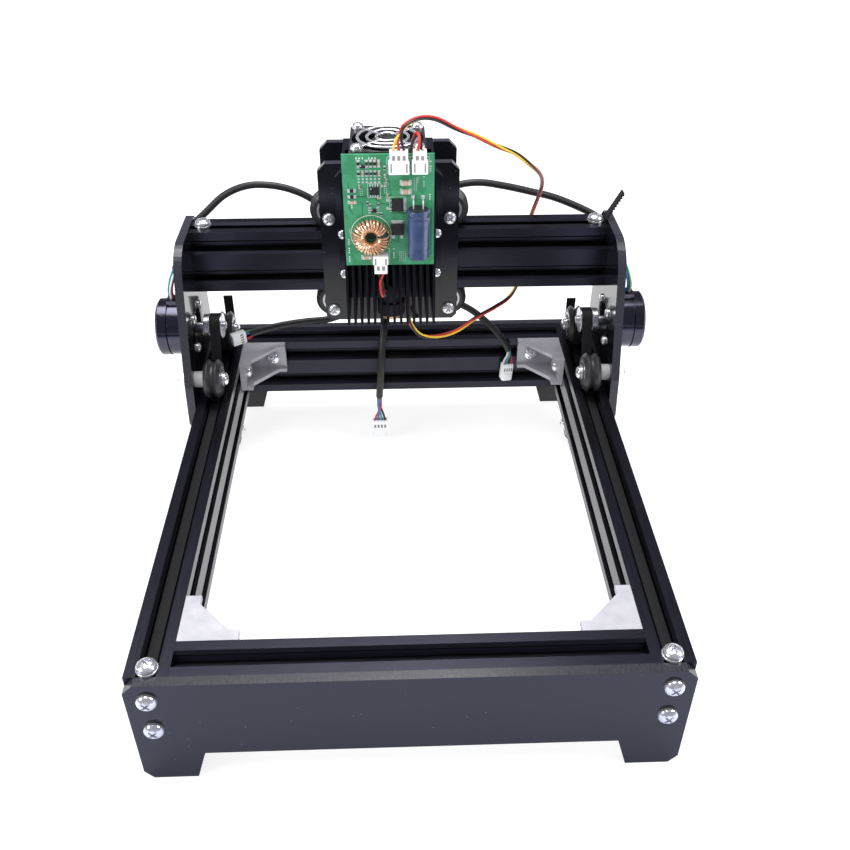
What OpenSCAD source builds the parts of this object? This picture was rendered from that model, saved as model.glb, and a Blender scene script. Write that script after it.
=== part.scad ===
// Small desktop laser engraver: a rectangular extrusion base, a gantry that rolls along Y,
// a laser carriage that rolls along X, and the belts, motors, wiring and laser head they carry.
// Origin: centre of the footprint on the floor. +X right, +Y to the rear, +Z up. Millimetres.

/* [Base frame] */
// Outside width of the base across the two rails
base_w = 254; // [230:1:300]
// Length of the two rails
base_l = 300; // [290:1:340]
// Height of the underside of the extrusions over the floor
base_lift = 27; // [26:1:40]
// Thickness of every acrylic plate
plate_t = 5; // [4:0.5:6]

/* [Gantry] */
// Distance of the gantry beam's centre line behind the middle of the base
beam_y = 122; // [110:1:122]
// Height of the beam's underside over the floor
beam_z = 116; // [112:1:124]
// Length of the Y motors and the X motor
motor_l = 18; // [14:1:24]
// Diameter of the round motors
motor_d = 35; // [32:1:36]

/* [Carriage and laser head] */
// Position of the carriage along the beam
carriage_x = -6.5; // [-12:0.5:6]
// Width of the carriage plates
carriage_w = 82.6; // [80:0.2:86]
// Width of the finned laser heatsink
sink_w = 50; // [48:1:52]
// Number of fins on the laser heatsink
fin_count = 14; // [10:1:16]
// Side of the square cooling fan
fan_w = 40; // [38:1:42]
// Number of fan blades
blade_count = 7; // [5:1:9]

/* [Hidden] */

$fn = 48;
cut = 0.5; // overshoot of a cutting tool past the face it cuts

// Extrusions: 20 x 40 mm with V slots
slim = 20;
tall = 40;
slot_mouth = 4.58;
slot_neck = 3.1;
slot_depth = 6;
end_bore_r = 2.1;
base_top = base_lift + tall;
rail_x = base_w / 2 - slim / 2;
rail_y = base_l / 2;
beam_top = beam_z + tall;

// Metric fasteners
m5_r = 2.5;
m5_head_r = 4.7;
m5_head_h = 3.6;
axle_head_r = 3.9;
axle_head_h = 3;
m4_r = 2;
m4_head_r = 3.6;
m4_head_h = 2.6;
m3_r = 1.5;
m3_head_r = 2.9;
m3_head_h = 2;
hole_r = 2.6;
nut_h = 4;

// Wheels: two V ridges with a groove between them
wheel_r = 12.2;
wheel_w = 10.2;
ridge = 2.9;
wheel_gap = 10.6; // axis to extrusion face
bearing_r = 7.95;
spacer_r = 5;
washer_t = 1;
wheel_bottom_z = base_lift - wheel_gap;
wheel_top_z = base_top + wheel_gap;

// Belts
belt_w = 6;
belt_t = 1.5;
belt_gap = 0.3;
pulley_r = 6.37;
flange_r = 8;
rim_gap = 0.2;
grub_r = 1;
pulley_rim_l = 7.4;
tnut = [8.8, 5.6, 2.4];
tnut_neck = 5.8;
belt_screw_inset = 4.5;
tail_screw_inset = 5.8;

// Gantry side plates and drive, as distances along Y
front_wheel_y = 70;
lower_wheel_y = 100;
rear_wheel_y = 130;
y_motor_z = 98.3;
side_in = base_w / 2 + 1.5;
side_out = side_in + plate_t;
motor_cap_l = 6.6;
boss_r = 11;
boss_l = 2;
shaft_r = 2.5;
gland = [6, 9, 2.5];

// Carriage
plate_bottom = 98;
plate_top = 200.5;
front_y = beam_y - slim / 2 - 1.5;
rear_y = beam_y + slim / 2 + 1.5;
wheel_dx = 36;
wheel_hi_z = beam_top + wheel_gap;
wheel_lo_z = beam_z - wheel_gap;
x_motor_z = 187;
mount_y = front_y - plate_t;
mount_w = 62.2;

// Laser head
head_y = mount_y - plate_t;
sink_l = 50.5;
sink_z = 126;
sink_top = 217;
sink_core = 18;
fin_t = 1.5;
lens_y = head_y - sink_core / 2;
fan_h = 10.5;
fan_screw = 16; // from the fan's axis, both ways
fan_y = head_y - sink_l + fan_w / 2;
guard_z = sink_top + fan_h;
wire_post_r = 3.5;
wire_post = [-9, head_y - sink_l, 148];

// Driver board, standing in front of the fins
board = [47.4, 1.6, 61.5];
board_x = -6.5;
board_z = 167;
board_y = head_y - sink_l - 4.5;
board_face = board_y - board[1];

// Cable diameters
cable_d = 4.6;
lead_d = 3;
wire_d = 2;

// Left motor's cable: from the gland, round the side plate's rear edge, over behind the
// beam, down behind the carriage and out below the beam on the right
left_cable = [
    [-142, 100, 118.3], [-142, 100, 124], [-140.5, 104, 130.5], [-138, 110, 135.2],
    [-136.8, 118, 136.4], [-136.8, 127, 137], [-136.9, 136, 139.5], [-135.3, 144, 143.5],
    [-124.5, 152, 151.5], [-112, 157, 161],
    [-98, 158, 166.5], [-84, 158, 167], [-70, 158, 164], [-57, 157, 158], [-44, 155, 148],
    [-31, 154.5, 135], [-17, 153, 120], [-2, 150.5, 107.5], [14, 147.5, 98], [30, 143.5, 91.5],
    [46, 139, 85.5], [58.5, 133, 77.5], [67.5, 127.2, 69], [73, 125.2, 59], [72.3, 125, 50]
];
// Right motor's cable: the same way round, out below the beam on the left
right_cable = [
    [142, 100, 118.3], [142, 100, 124], [140.5, 104, 130.5], [138, 110, 135.2],
    [136.8, 118, 136.4], [136.8, 127, 137], [136.9, 136, 139], [135.3, 144, 142.3],
    [124.5, 151.5, 148], [103, 158, 155.5], [85, 158, 160.5],
    [68, 158, 164.5], [52, 158, 167], [38, 158, 165.5], [27, 158.3, 159.5], [18, 158.5, 149],
    [10, 158.5, 136], [2, 158.3, 122], [-8, 156.8, 108], [-20, 152.5, 94], [-33, 146, 83],
    [-48, 140, 79], [-64, 135, 80], [-79, 130, 80.5], [-93, 123.5, 80.5], [-103, 117.5, 80]
];
// X motor's cable: down behind the rear plate, forward under the beam, down to its plug
x_cable = [
    [-6.5, 147, 167], [-6.5, 147, 161], [-7, 147, 151], [-7.5, 146.5, 139], [-8, 145.5, 126],
    [-8, 144.5, 114], [-8, 143.5, 104.5], [-8.5, 141.5, 97], [-9, 137, 91], [-10, 130, 87],
    [-11.5, 123, 81], [-13, 117, 72], [-14, 112.5, 61], [-15, 109.5, 48], [-16, 108, 35],
    [-16, 107.5, 22], [-16, 107.5, 17]
];
// Laser lead: up out of the board's wide connector, over the carriage's right side, down
// behind the beam, forward under it and up into the laser
laser_route = [
    [-1, 41, 231.7], [-1, 41, 237], [2, 43, 243], [9, 48, 245], [18, 55, 242.5],
    [30, 65, 234], [43, 76, 225], [55, 87, 216], [66, 97, 208], [76, 107, 198],
    [84, 120, 187], [88, 134, 175], [88, 144, 162], [85, 150, 147], [82, 151, 132],
    [81, 149, 116], [79, 143, 105], [73, 134, 98], [61, 124, 94.5], [48, 117, 90.5],
    [35, 109, 86], [22, 102, 86], [11, 95.5, 92], [5, 92, 103], [4, 91.5, 115],
    [4, 91.5, 126]
];
// Fan lead: from the fan's front edge up and over into the board's narrow connector
fan_route = [
    [5, 50, 222], [5, 48.4, 222], [5, 47.2, 224.6], [5.5, 47, 230], [6.5, 46.5, 235],
    [8, 44.5, 238.5], [9.3, 42, 238], [9.6, 41, 235], [9.6, 41, 231.7]
];
// Power loop: out of the board's lower connector and back into the heatsink
loop_route = [
    [-11.5, 41, 164], [-11.5, 41, 160], [-11.3, 40.4, 155], [-10.8, 40.6, 151],
    [-10, 42.6, 148.6], [-9.2, 46, 148], [-9, 50, 148]
];

black = "#1c1d22";
steel = "#d5d6da";

// ---------- helpers ----------

module mirror_x() {
    children();
    mirror([1, 0, 0]) children();
}

function unit(v) = v / norm(v);

// Points on an arc from angle a0 to a1
function arc(c, r, a0, a1, n = 12) =
    [for (i = [0:n]) let (a = a0 + (a1 - a0) * i / n) c + r * [cos(a), sin(a)]];

// Outline of a strip of thickness t along the open line p
function strip_normals(p) = [
    for (i = [0:len(p) - 1])
        let (d = unit(p[min(i + 1, len(p) - 1)] - p[max(i - 1, 0)])) [-d[1], d[0]]
];
function strip(p, t) = let (n = strip_normals(p)) concat(
    [for (i = [0:len(p) - 1]) p[i] + n[i] * t / 2],
    [for (i = [len(p) - 1:-1:0]) p[i] - n[i] * t / 2]
);

// Rectangle with chamfered corners: c_top at the top pair, c_low at the bottom pair
module chamfered(w, h, c_top, c_low) {
    polygon([
        [-w / 2 + c_low, 0], [w / 2 - c_low, 0], [w / 2, c_low], [w / 2, h - c_top],
        [w / 2 - c_top, h], [-w / 2 + c_top, h], [-w / 2, h - c_top], [-w / 2, c_low]
    ]);
}

// Rectangle with round corners, centred
module rounded(w, h, r) {
    hull()
        for (x = [-1, 1], y = [-1, 1])
            translate([x * (w / 2 - r), y * (h / 2 - r)]) circle(r, $fn = 32);
}

// Turns a module drawn along +Z to lie along +X, +Y or -Y
module along_x() { rotate([0, 90, 0]) children(); }
module along_y() { rotate([-90, 0, 0]) children(); }
module along_minus_y() { rotate([90, 0, 0]) children(); }

// Pan-head cross-recessed screw: head above z = 0, shank below
module screw(l, r = m5_r, head_r = m5_head_r, head_h = m5_head_h) {
    difference() {
        union() {
            rotate_extrude()
                polygon(concat([[0, 0], [head_r, 0]],
                    [for (i = [0:6]) [
                        head_r * cos(i * 12.5 + 5), head_h * (0.25 + 0.75 * sin(i * 12.5 + 5))
                    ]],
                    [[0, head_h]]));
            translate([0, 0, -l]) cylinder(h = l + 0.1, r = r);
        }
        for (a = [45, 135])
            rotate(a) translate([-head_r * 0.52, -head_r * 0.12, head_h * 0.45])
                cube([head_r * 1.04, head_r * 0.24, head_h]);
    }
}

// Screw that serves as a wheel's axle
module axle_screw(l) { screw(l, m5_r, axle_head_r, axle_head_h); }

// Hexagonal nut on z = 0, threaded on a shank of radius r
module nut(across = 8, h = nut_h, r = m5_r) {
    difference() {
        cylinder(h = h, r = across / 2 / cos(30), $fn = 6);
        translate([0, 0, -cut]) cylinder(h = h + 2 * cut, r = r);
    }
}

module washer(r = m5_head_r + 0.3, t = washer_t) {
    difference() {
        cylinder(h = t, r = r);
        translate([0, 0, -cut]) cylinder(h = t + 2 * cut, r = hole_r);
    }
}

// One V slot cut into a face at y = 0, running into -y
module slot_2d() {
    polygon([
        [-slot_mouth - cut, cut], [-slot_neck, -1.48], [-slot_neck, -2], [-5.3, -2],
        [-5.3, -3.6], [-slot_neck - 0.1, -slot_depth], [slot_neck + 0.1, -slot_depth],
        [5.3, -3.6], [5.3, -2], [slot_neck, -2], [slot_neck, -1.48], [slot_mouth + cut, cut]
    ]);
}

// 20 x 40 extrusion section, centred, tall side along y
module section_2040() {
    difference() {
        square([slim, tall], center = true);
        for (a = [0, 180]) rotate(a) {
            translate([0, tall / 2]) slot_2d();
            for (y = [-1, 1]) {
                translate([slim / 2, y * slim / 2]) rotate(-90) slot_2d();
                translate([0, y * slim / 2]) circle(end_bore_r);
            }
        }
    }
}

// Extrusion of length l along +Y, centred in x, bottom on z = 0
module extrusion(l) {
    translate([0, l, tall / 2]) rotate([90, 0, 0]) linear_extrude(l) section_2040();
}

// ---------- base frame ----------

module left_rail() { color(black) translate([-rail_x, -rail_y, base_lift]) extrusion(base_l); }

module right_rail() { color(black) translate([rail_x, -rail_y, base_lift]) extrusion(base_l); }

module crossbar(y) {
    l = base_w - 2 * slim;
    color(black) translate([-l / 2, y, base_lift]) rotate(-90) extrusion(l);
}

module front_crossbar() { crossbar(-rail_y + slim / 2); }

module rear_crossbar() { crossbar(rail_y - slim / 2); }

// End plate with two feet, its corner chamfers and four screw holes
module end_plate() {
    w = base_w / 2;
    half = [
        [0, 18], [w - 30.4, 18], [w - 25, 0], [w - 4.2, 0], [w, 5], [w, base_top - 5],
        [w - 5, base_top], [0, base_top]
    ];
    color(black) translate([0, plate_t / 2, 0]) rotate([90, 0, 0])
        linear_extrude(plate_t) difference() {
            polygon(concat(half, [for (i = [len(half) - 2:-1:1]) [-half[i][0], half[i][1]]]));
            for (x = [-1, 1], z = [10, 30])
                translate([x * rail_x, base_lift + z]) circle(hole_r);
        }
}

module front_plate() { translate([0, -rail_y - plate_t / 2, 0]) end_plate(); }

module rear_plate() { translate([0, rail_y + plate_t / 2, 0]) end_plate(); }

// Die-cast corner bracket: two flanges joined by a triangular web above and below
bracket = 28;
bracket_h = 20;
bracket_wall = 3.5;
web_t = 2.5;
web = [
    [0, 0], [bracket, 0], [bracket, 6], [bracket - 5, 6], [7.5, bracket - 5.5],
    [7.5, bracket], [0, bracket]
];
module bracket_body() {
    difference() {
        union() {
            for (z = [0, bracket_h - web_t])
                translate([0, 0, z]) linear_extrude(web_t) polygon(web);
            cube([bracket, bracket_wall, bracket_h]);
            cube([bracket_wall, bracket, bracket_h]);
        }
        translate([bracket - 9, -cut, bracket_h / 2]) along_y()
            cylinder(h = bracket_wall + 2 * cut, r = hole_r);
        translate([-cut, bracket - 9, bracket_h / 2]) along_x()
            cylinder(h = bracket_wall + 2 * cut, r = hole_r);
    }
}

// Puts a child, drawn at the left front inner corner, in all four corners
module four_corners() {
    for (s = [0, 1]) mirror([s, 0, 0])
        for (t = [0, 1]) mirror([0, t, 0])
            translate([-base_w / 2 + slim, -rail_y + slim, base_top - bracket_h]) children();
}

module corner_brackets() { color("#c9cad2") four_corners() bracket_body(); }

module frame_screws() {
    color(steel) {
        for (s = [0, 1], t = [0, 1], z = [10, 30])
            mirror([s, 0, 0]) mirror([0, t, 0])
                translate([rail_x, -rail_y - plate_t, base_lift + z])
                    along_minus_y() screw(plate_t + 12, r = end_bore_r - 0.05);
        four_corners() {
            translate([bracket - 9, bracket_wall, bracket_h / 2]) along_y() screw(8);
            translate([bracket_wall, bracket - 9, bracket_h / 2]) along_x() screw(8);
        }
    }
}

// Flat belt along each rail's top slot, with a tail that stands up at the rear end
belt_z = base_top - slot_depth;
module rail_belt(tail_top) {
    tail_y = rail_y - belt_t / 2 - 0.6;
    line = [
        [-rail_y + 0.5, belt_z + belt_t / 2], [tail_y - 1.2, belt_z + belt_t / 2],
        [tail_y, belt_z + 2], [tail_y, base_top], [tail_y + 0.4, base_top + 8],
        [tail_y + 0.2, tail_top]
    ];
    translate([-belt_w / 2, 0, 0]) rotate([90, 0, 90])
        linear_extrude(belt_w) polygon(strip(line, belt_t));
}

module y_belts() {
    color(black) {
        translate([rail_x, 0, 0]) rail_belt(base_top + 20);
        translate([-rail_x, 0, 0]) rail_belt(base_top + 26);
    }
}

// T-nut under a slot's lips, drawn below the face z = 0, for a shank of radius r
module slot_nut(r) {
    difference() {
        union() {
            translate([-tnut_neck / 2, -tnut[1] / 2, -2]) cube([tnut_neck, tnut[1], 2]);
            translate([-tnut[0] / 2, -tnut[1] / 2, -slot_depth + belt_t]) cube(tnut);
        }
        translate([0, 0, -slot_depth]) cylinder(h = slot_depth + cut, r = r);
    }
}

// T-nut with a washer and screw on top
module slot_clamp() {
    slot_nut(m5_r);
    washer();
    translate([0, 0, washer_t]) screw(washer_t + 4);
}

// T-nut with a smaller screw, where the belt's tail leaves no room for a washer
module tail_clamp() {
    slot_nut(m4_r);
    screw(4, m4_r, m4_head_r, m4_head_h);
}

module y_belt_clamps() {
    color("#b89a5a")
        for (x = [-rail_x, rail_x]) {
            translate([x, -rail_y + belt_screw_inset, base_top]) slot_clamp();
            translate([x, rail_y - tail_screw_inset, base_top]) tail_clamp();
        }
}

// ---------- wheels, axles and pulleys ----------

// V wheel on its axis along z, centred; two ball bearings sit in it
module v_wheel() {
    half = wheel_w / 2;
    low = wheel_r - (half - ridge);
    groove = ridge - 0.4;
    color("#26272b") rotate_extrude() polygon([
        [bearing_r - 1.2, -0.5], [bearing_r + 0.05, -0.5], [bearing_r + 0.05, -half],
        [low, -half], [wheel_r, -ridge], [wheel_r, -groove], [wheel_r - 1.9, -groove + 1.9],
        [wheel_r - 1.9, groove - 1.9], [wheel_r, groove], [wheel_r, ridge], [low, half],
        [bearing_r + 0.05, half], [bearing_r + 0.05, 0.5], [bearing_r - 1.2, 0.5]
    ]);
    color(steel) for (s = [0, 1]) mirror([0, 0, s]) translate([0, 0, 0.5]) bearing(half - 0.55);
}

// Ball bearing from z = 0 to h: shielded rings with a shallow groove between them
module bearing(h) {
    rotate_extrude() polygon([
        [m5_r + 0.05, 0], [bearing_r, 0], [bearing_r, h], [bearing_r - 1.2, h],
        [bearing_r - 1.2, h - 0.3], [m5_r + 1.4, h - 0.3], [m5_r + 1.4, h], [m5_r + 0.05, h]
    ]);
}

module rail_wheel(side, y, z) { translate([side * rail_x, y, z]) along_x() v_wheel(); }

module left_front_wheel() { rail_wheel(-1, front_wheel_y, wheel_top_z); }
module left_rear_wheel() { rail_wheel(-1, rear_wheel_y, wheel_top_z); }
module left_lower_wheel() { rail_wheel(-1, lower_wheel_y, wheel_bottom_z); }
module right_front_wheel() { rail_wheel(1, front_wheel_y, wheel_top_z); }
module right_rear_wheel() { rail_wheel(1, rear_wheel_y, wheel_top_z); }
module right_lower_wheel() { rail_wheel(1, lower_wheel_y, wheel_bottom_z); }

// Carriage wheels 1 and 2 run on top of the beam, 3 and 4 under it
function carriage_wheel_pos(i) = [
    carriage_x + (i % 2 == 0 ? -1 : 1) * wheel_dx, beam_y, i < 2 ? wheel_hi_z : wheel_lo_z
];
module carriage_wheel(i) { translate(carriage_wheel_pos(i)) along_y() v_wheel(); }

module carriage_wheel_1() { carriage_wheel(0); }
module carriage_wheel_2() { carriage_wheel(1); }
module carriage_wheel_3() { carriage_wheel(2); }
module carriage_wheel_4() { carriage_wheel(3); }

// The three wheel stations of one gantry side: [y, z]
stations = [
    [front_wheel_y, wheel_top_z], [rear_wheel_y, wheel_top_z], [lower_wheel_y, wheel_bottom_z]
];

// Plain spacer on z = 0
module spacer(l, r = spacer_r) {
    difference() {
        cylinder(h = l, r = r);
        translate([0, 0, -cut]) cylinder(h = l + 2 * cut, r = hole_r);
    }
}

module rail_wheel_spacers() {
    gap = side_in - rail_x - wheel_w / 2;
    color("#e6e6ea") mirror_x()
        for (s = stations)
            translate([rail_x + wheel_w / 2, s[0], s[1]]) along_x() {
                if (s[1] == wheel_bottom_z) nut(across = 10, h = gap, r = hole_r);
                else spacer(gap);
            }
}

module rail_wheel_axles() {
    inner = rail_x - wheel_w / 2;
    l = side_out - inner;
    color(steel) mirror_x()
        for (s = stations) translate([inner, s[0], s[1]]) {
            rotate([0, 90, 0]) translate([0, 0, -washer_t]) washer(axle_head_r + 0.8);
            translate([-washer_t, 0, 0]) rotate([0, -90, 0]) axle_screw(l + nut_h + 2);
            translate([l, 0, 0]) along_x() nut();
        }
}

// Toothed pulley with two flanges, a hub and its shaft; shaft end on z = 0, rim from z = near
module pulley(near, hub_l, shaft_l) {
    difference() {
        union() {
            translate([0, 0, near]) cylinder(h = 1, r = flange_r);
            translate([0, 0, near + 0.9]) cylinder(h = pulley_rim_l, r = pulley_r - rim_gap);
            translate([0, 0, near + pulley_rim_l]) cylinder(h = 1, r = flange_r);
            translate([0, 0, near + pulley_rim_l + 1]) cylinder(h = hub_l, r = flange_r - 0.5);
        }
        translate([0, 0, near - cut]) cylinder(h = hub_l + 12, r = shaft_r);
        translate([0, 0, near + pulley_rim_l + 1 + hub_l / 2]) along_minus_y()
            cylinder(h = flange_r + cut, r = grub_r);
    }
    cylinder(h = shaft_l, r = shaft_r);
}

y_pulley_near = 2;
y_shaft_x = rail_x - pulley_rim_l / 2 - 0.5 - y_pulley_near;
module y_pulley(side) {
    reach = side_out - y_shaft_x + boss_l;
    color("#b9bbc2") mirror([side < 0 ? 1 : 0, 0, 0])
        translate([y_shaft_x, lower_wheel_y, y_motor_z]) along_x()
            pulley(y_pulley_near, 3, reach);
}

module left_y_pulley() { y_pulley(-1); }

module right_y_pulley() { y_pulley(1); }

x_pulley_near = 1.5;
x_shaft_y = beam_y - pulley_rim_l / 2 - 0.5 - x_pulley_near;
module x_pulley() {
    reach = rear_y + plate_t + boss_l - x_shaft_y;
    color("#b9bbc2") translate([carriage_x, x_shaft_y, x_motor_z]) along_y()
        pulley(x_pulley_near, 2.6, reach);
}

// Belt loop in the plane (u, v): under both idler wheels at (+-dx, 0) and over the pulley
// at (0, dz)
module belt_loop(dx, dz) {
    wr = wheel_r + belt_gap + belt_t / 2;
    pr = pulley_r + belt_t / 2;
    lean = atan2(dz, dx) + asin((wr + pr) / norm([dx, dz]));
    right = concat(
        arc([0, dz], pr, 90, 90 - lean, 10),
        arc([dx, 0], wr, 270 - lean, 270, 10),
        [[dx + 4, -wr]]
    );
    left = [for (i = [len(right) - 1:-1:1]) [-right[i][0], right[i][1]]];
    translate([0, 0, -belt_w / 2]) linear_extrude(belt_w)
        polygon(strip(concat(left, right), belt_t));
}

module y_belt_loops() {
    color(black) mirror_x()
        translate([rail_x, lower_wheel_y, wheel_top_z]) rotate([90, 0, 90])
            belt_loop(rear_wheel_y - lower_wheel_y, y_motor_z - wheel_top_z);
}

module x_belt_loop() {
    color(black) translate([carriage_x, beam_y, wheel_hi_z]) rotate([90, 0, 0])
        belt_loop(wheel_dx, x_motor_z - wheel_hi_z);
}

// ---------- gantry ----------

// Side plate outline in (y, z), rounded at its upper front corner
side_round = 22;
side_outline = [
    [57.5, 53], [61, 77], [75, 127],
    each arc([100.1, beam_top + 1 - side_round], side_round, 164.3, 90, 10),
    [135, beam_top + 1], [139, 153], [140, 103], [142, 53], [118, 13], [112, 8], [90, 8],
    [84, 13]
];
motor_screw_r = 14;
motor_screw_angles = [45, 135, 225, 315];

module side_plate() {
    difference() {
        translate([side_in, 0, 0]) rotate([90, 0, 90]) linear_extrude(plate_t)
            polygon(side_outline);
        translate([side_in - cut, 0, 0]) along_x_at(stations) hole(hole_r);
        translate([side_in - cut, lower_wheel_y, y_motor_z]) along_x() {
            hole(boss_r);
            for (a = motor_screw_angles) rotate(a) translate([motor_screw_r, 0, 0]) hole(1.6);
        }
        for (z = [slim / 2, tall - slim / 2])
            translate([side_in - cut, beam_y, beam_z + z]) along_x() hole(hole_r);
    }
}

module hole(r) { cylinder(h = plate_t + 2 * cut, r = r); }

module along_x_at(places) {
    for (p = places) translate([0, p[0], p[1]]) along_x() children();
}

module right_side_plate() { color(black) side_plate(); }

module left_side_plate() { color(black) mirror([1, 0, 0]) side_plate(); }

module gantry_beam() {
    color(black) translate([-side_in, beam_y, beam_z]) rotate(-90) extrusion(2 * side_in);
}

// Round stepper along +Z, mounting face on z = 0, boss below it
module motor() {
    difference() {
        union() {
            cylinder(h = motor_l - motor_cap_l - 0.6, r = motor_d / 2);
            translate([0, 0, motor_l - motor_cap_l - 0.7])
                cylinder(h = 0.8, r = motor_d / 2 - 0.8);
            translate([0, 0, motor_l - motor_cap_l]) rotate_extrude() polygon([
                [0, 0], [motor_d / 2 + 0.4, 0], [motor_d / 2 + 0.4, motor_cap_l - 1.2],
                [motor_d / 2 - 0.8, motor_cap_l], [0, motor_cap_l]
            ]);
            translate([0, 0, -boss_l]) cylinder(h = boss_l + 0.1, r = boss_r - 0.15);
            translate([-motor_d / 2 - gland[2], -gland[1] / 2, motor_l - motor_cap_l - gland[0]])
                cube([motor_d / 2, gland[1], gland[0]]);
        }
        translate([0, 0, -boss_l - cut]) cylinder(h = boss_l + 7, r = shaft_r + 0.06);
        for (a = motor_screw_angles)
            rotate(a) translate([motor_screw_r, 0, -cut]) cylinder(h = 6, r = m3_r);
        for (a = [0:90:270])
            rotate(a + 45) translate([motor_d / 2 - 4.5, 0, motor_l - 1]) cylinder(h = 2, r = 1.6);
    }
}

module right_y_motor() {
    color(black) translate([side_out, lower_wheel_y, y_motor_z]) along_x() motor();
}

module left_y_motor() { mirror([1, 0, 0]) right_y_motor(); }

// Screws of the gantry: beam ends, motor faces and the X belt's two clamps
x_clamp_x = side_in - 7.5;
module gantry_screws() {
    color(steel) {
        mirror_x() {
            for (z = [slim / 2, tall - slim / 2])
                translate([side_out, beam_y, beam_z + z]) along_x()
                    screw(plate_t + 12, r = end_bore_r - 0.05);
            translate([side_in, lower_wheel_y, y_motor_z]) rotate([0, -90, 0])
                for (a = motor_screw_angles) rotate(a) translate([motor_screw_r, 0, 0])
                    screw(plate_t + 4, m3_r - 0.05, m3_head_r, m3_head_h);
            translate([x_clamp_x, beam_y, beam_top]) rotate(90) slot_clamp();
        }
    }
}

// Flat belt along the beam's top slot; its right end leans out over the side plate
module x_belt() {
    z = beam_top - slot_depth;
    line = [
        [-side_in + 0.5, z + belt_t / 2], [side_in - 3.2, z + belt_t / 2],
        [side_in - 1.9, z + 2.2], [side_in - 1.4, beam_top - 1], [side_in - 1, beam_top + 2],
        [side_in + 3.4, beam_top + 10], [side_in + 8.2, beam_top + 19]
    ];
    color(black) translate([0, beam_y + belt_w / 2, 0]) rotate([90, 0, 0])
        linear_extrude(belt_w) polygon(strip(line, belt_t));
}

// ---------- carriage ----------

// Plate in the XZ plane, its front face on y = 0
module upright(w, z0, z1, c_top, c_low) {
    translate([carriage_x, plate_t, z0]) rotate([90, 0, 0])
        linear_extrude(plate_t) chamfered(w, z1 - z0, c_top, c_low);
}

module wheel_holes(y) {
    for (i = [0:3]) translate([carriage_wheel_pos(i)[0], y - cut, carriage_wheel_pos(i)[2]])
        along_y() hole(hole_r);
}

mount_screws = [for (x = [-1, 1] * (mount_w / 2 - 3), z = [133, 159]) [carriage_x + x, z]];

module carriage_front_plate() {
    color(black) difference() {
        translate([0, front_y - plate_t, 0])
            upright(carriage_w, plate_bottom, plate_top, 4.5, 3);
        wheel_holes(front_y - plate_t);
        for (p = mount_screws) translate([p[0], front_y - plate_t - cut, p[1]])
            along_y() hole(m3_r);
        translate([carriage_x, front_y - plate_t - cut, x_motor_z]) along_y() hole(9);
    }
}

module carriage_rear_plate() {
    color(black) difference() {
        translate([0, rear_y, 0])
            upright(carriage_w, plate_bottom, plate_top + 2.5, 4.5, 3);
        wheel_holes(rear_y);
        translate([carriage_x, rear_y - cut, x_motor_z]) along_y() {
            hole(boss_r);
            for (a = motor_screw_angles) rotate(a) translate([motor_screw_r, 0, 0]) hole(1.6);
        }
    }
}

module carriage_spacers() {
    gap = rear_y - beam_y - wheel_w / 2;
    color("#e6e6ea")
        for (i = [0:3], s = [0, 1])
            translate(carriage_wheel_pos(i)) mirror([0, s, 0])
                translate([0, wheel_w / 2, 0]) along_y() {
                    if (i < 2) spacer(gap);
                    else nut(across = 10, h = gap, r = hole_r);
                }
}

module carriage_axles() {
    l = rear_y - front_y + 2 * plate_t;
    color(steel)
        for (i = [0:3])
            translate([carriage_wheel_pos(i)[0], front_y - plate_t, carriage_wheel_pos(i)[2]]) {
                along_minus_y() axle_screw(l + nut_h + 1.5);
                translate([0, l, 0]) along_y() nut();
            }
}

module carriage_screws() {
    color(steel) {
        for (p = mount_screws) translate([p[0], mount_y - plate_t, p[1]])
            along_minus_y() screw(2 * plate_t + 1, m3_r, m3_head_r, m3_head_h);
        translate([carriage_x, rear_y, x_motor_z]) along_minus_y()
            for (a = motor_screw_angles) rotate(a) translate([motor_screw_r, 0, 0])
                screw(plate_t + 4, m3_r - 0.05, m3_head_r, m3_head_h);
    }
}

module x_motor() {
    color(black) translate([carriage_x, rear_y + plate_t, x_motor_z])
        along_y() rotate(-90) motor();
}

module laser_mount_plate() {
    color(black) difference() {
        translate([0, mount_y - plate_t, 0]) upright(mount_w, 110, 197, 3, 3);
        for (p = mount_screws) translate([p[0], mount_y - plate_t - cut, p[1]])
            along_y() hole(m3_r);
    }
}

// ---------- laser head ----------

module laser_heatsink() {
    pitch = (sink_w - fin_t) / (fin_count - 1);
    slot_w = pitch - fin_t;
    front = head_y - sink_l;
    color(black) {
        difference() {
            translate([carriage_x - sink_w / 2, front, sink_z])
                cube([sink_w, sink_l, sink_top - sink_z]);
            for (i = [0:fin_count - 2])
                translate([carriage_x - sink_w / 2 + fin_t + i * pitch, front - cut, sink_z - cut])
                    cube([slot_w, sink_l - sink_core + cut, sink_top - sink_z + 2 * cut]);
            translate([carriage_x, lens_y, sink_z - cut]) cylinder(h = 30, r = 6);
        }
        translate(wire_post) along_y() cylinder(h = sink_l - sink_core + cut, r = wire_post_r);
    }
}

module laser_lens_barrel() {
    color("#8f7a3c") difference() {
        translate([carriage_x, lens_y, 0]) {
            translate([0, 0, sink_z]) cylinder(h = 28, r = 5.9);
            translate([0, 0, sink_z - 6]) cylinder(h = 6, r = 7);
            translate([0, 0, sink_z - 14]) cylinder(h = 8.1, r = 8.5);
            translate([0, 0, sink_z - 17]) cylinder(h = 3.1, r = 6);
        }
        translate([carriage_x, lens_y, sink_z - 18]) cylinder(h = 24, r = 3.5);
    }
    color("#9fb8d8") translate([carriage_x, lens_y, sink_z - 12])
        cylinder(h = 2.5, r = 3.45);
}

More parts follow.
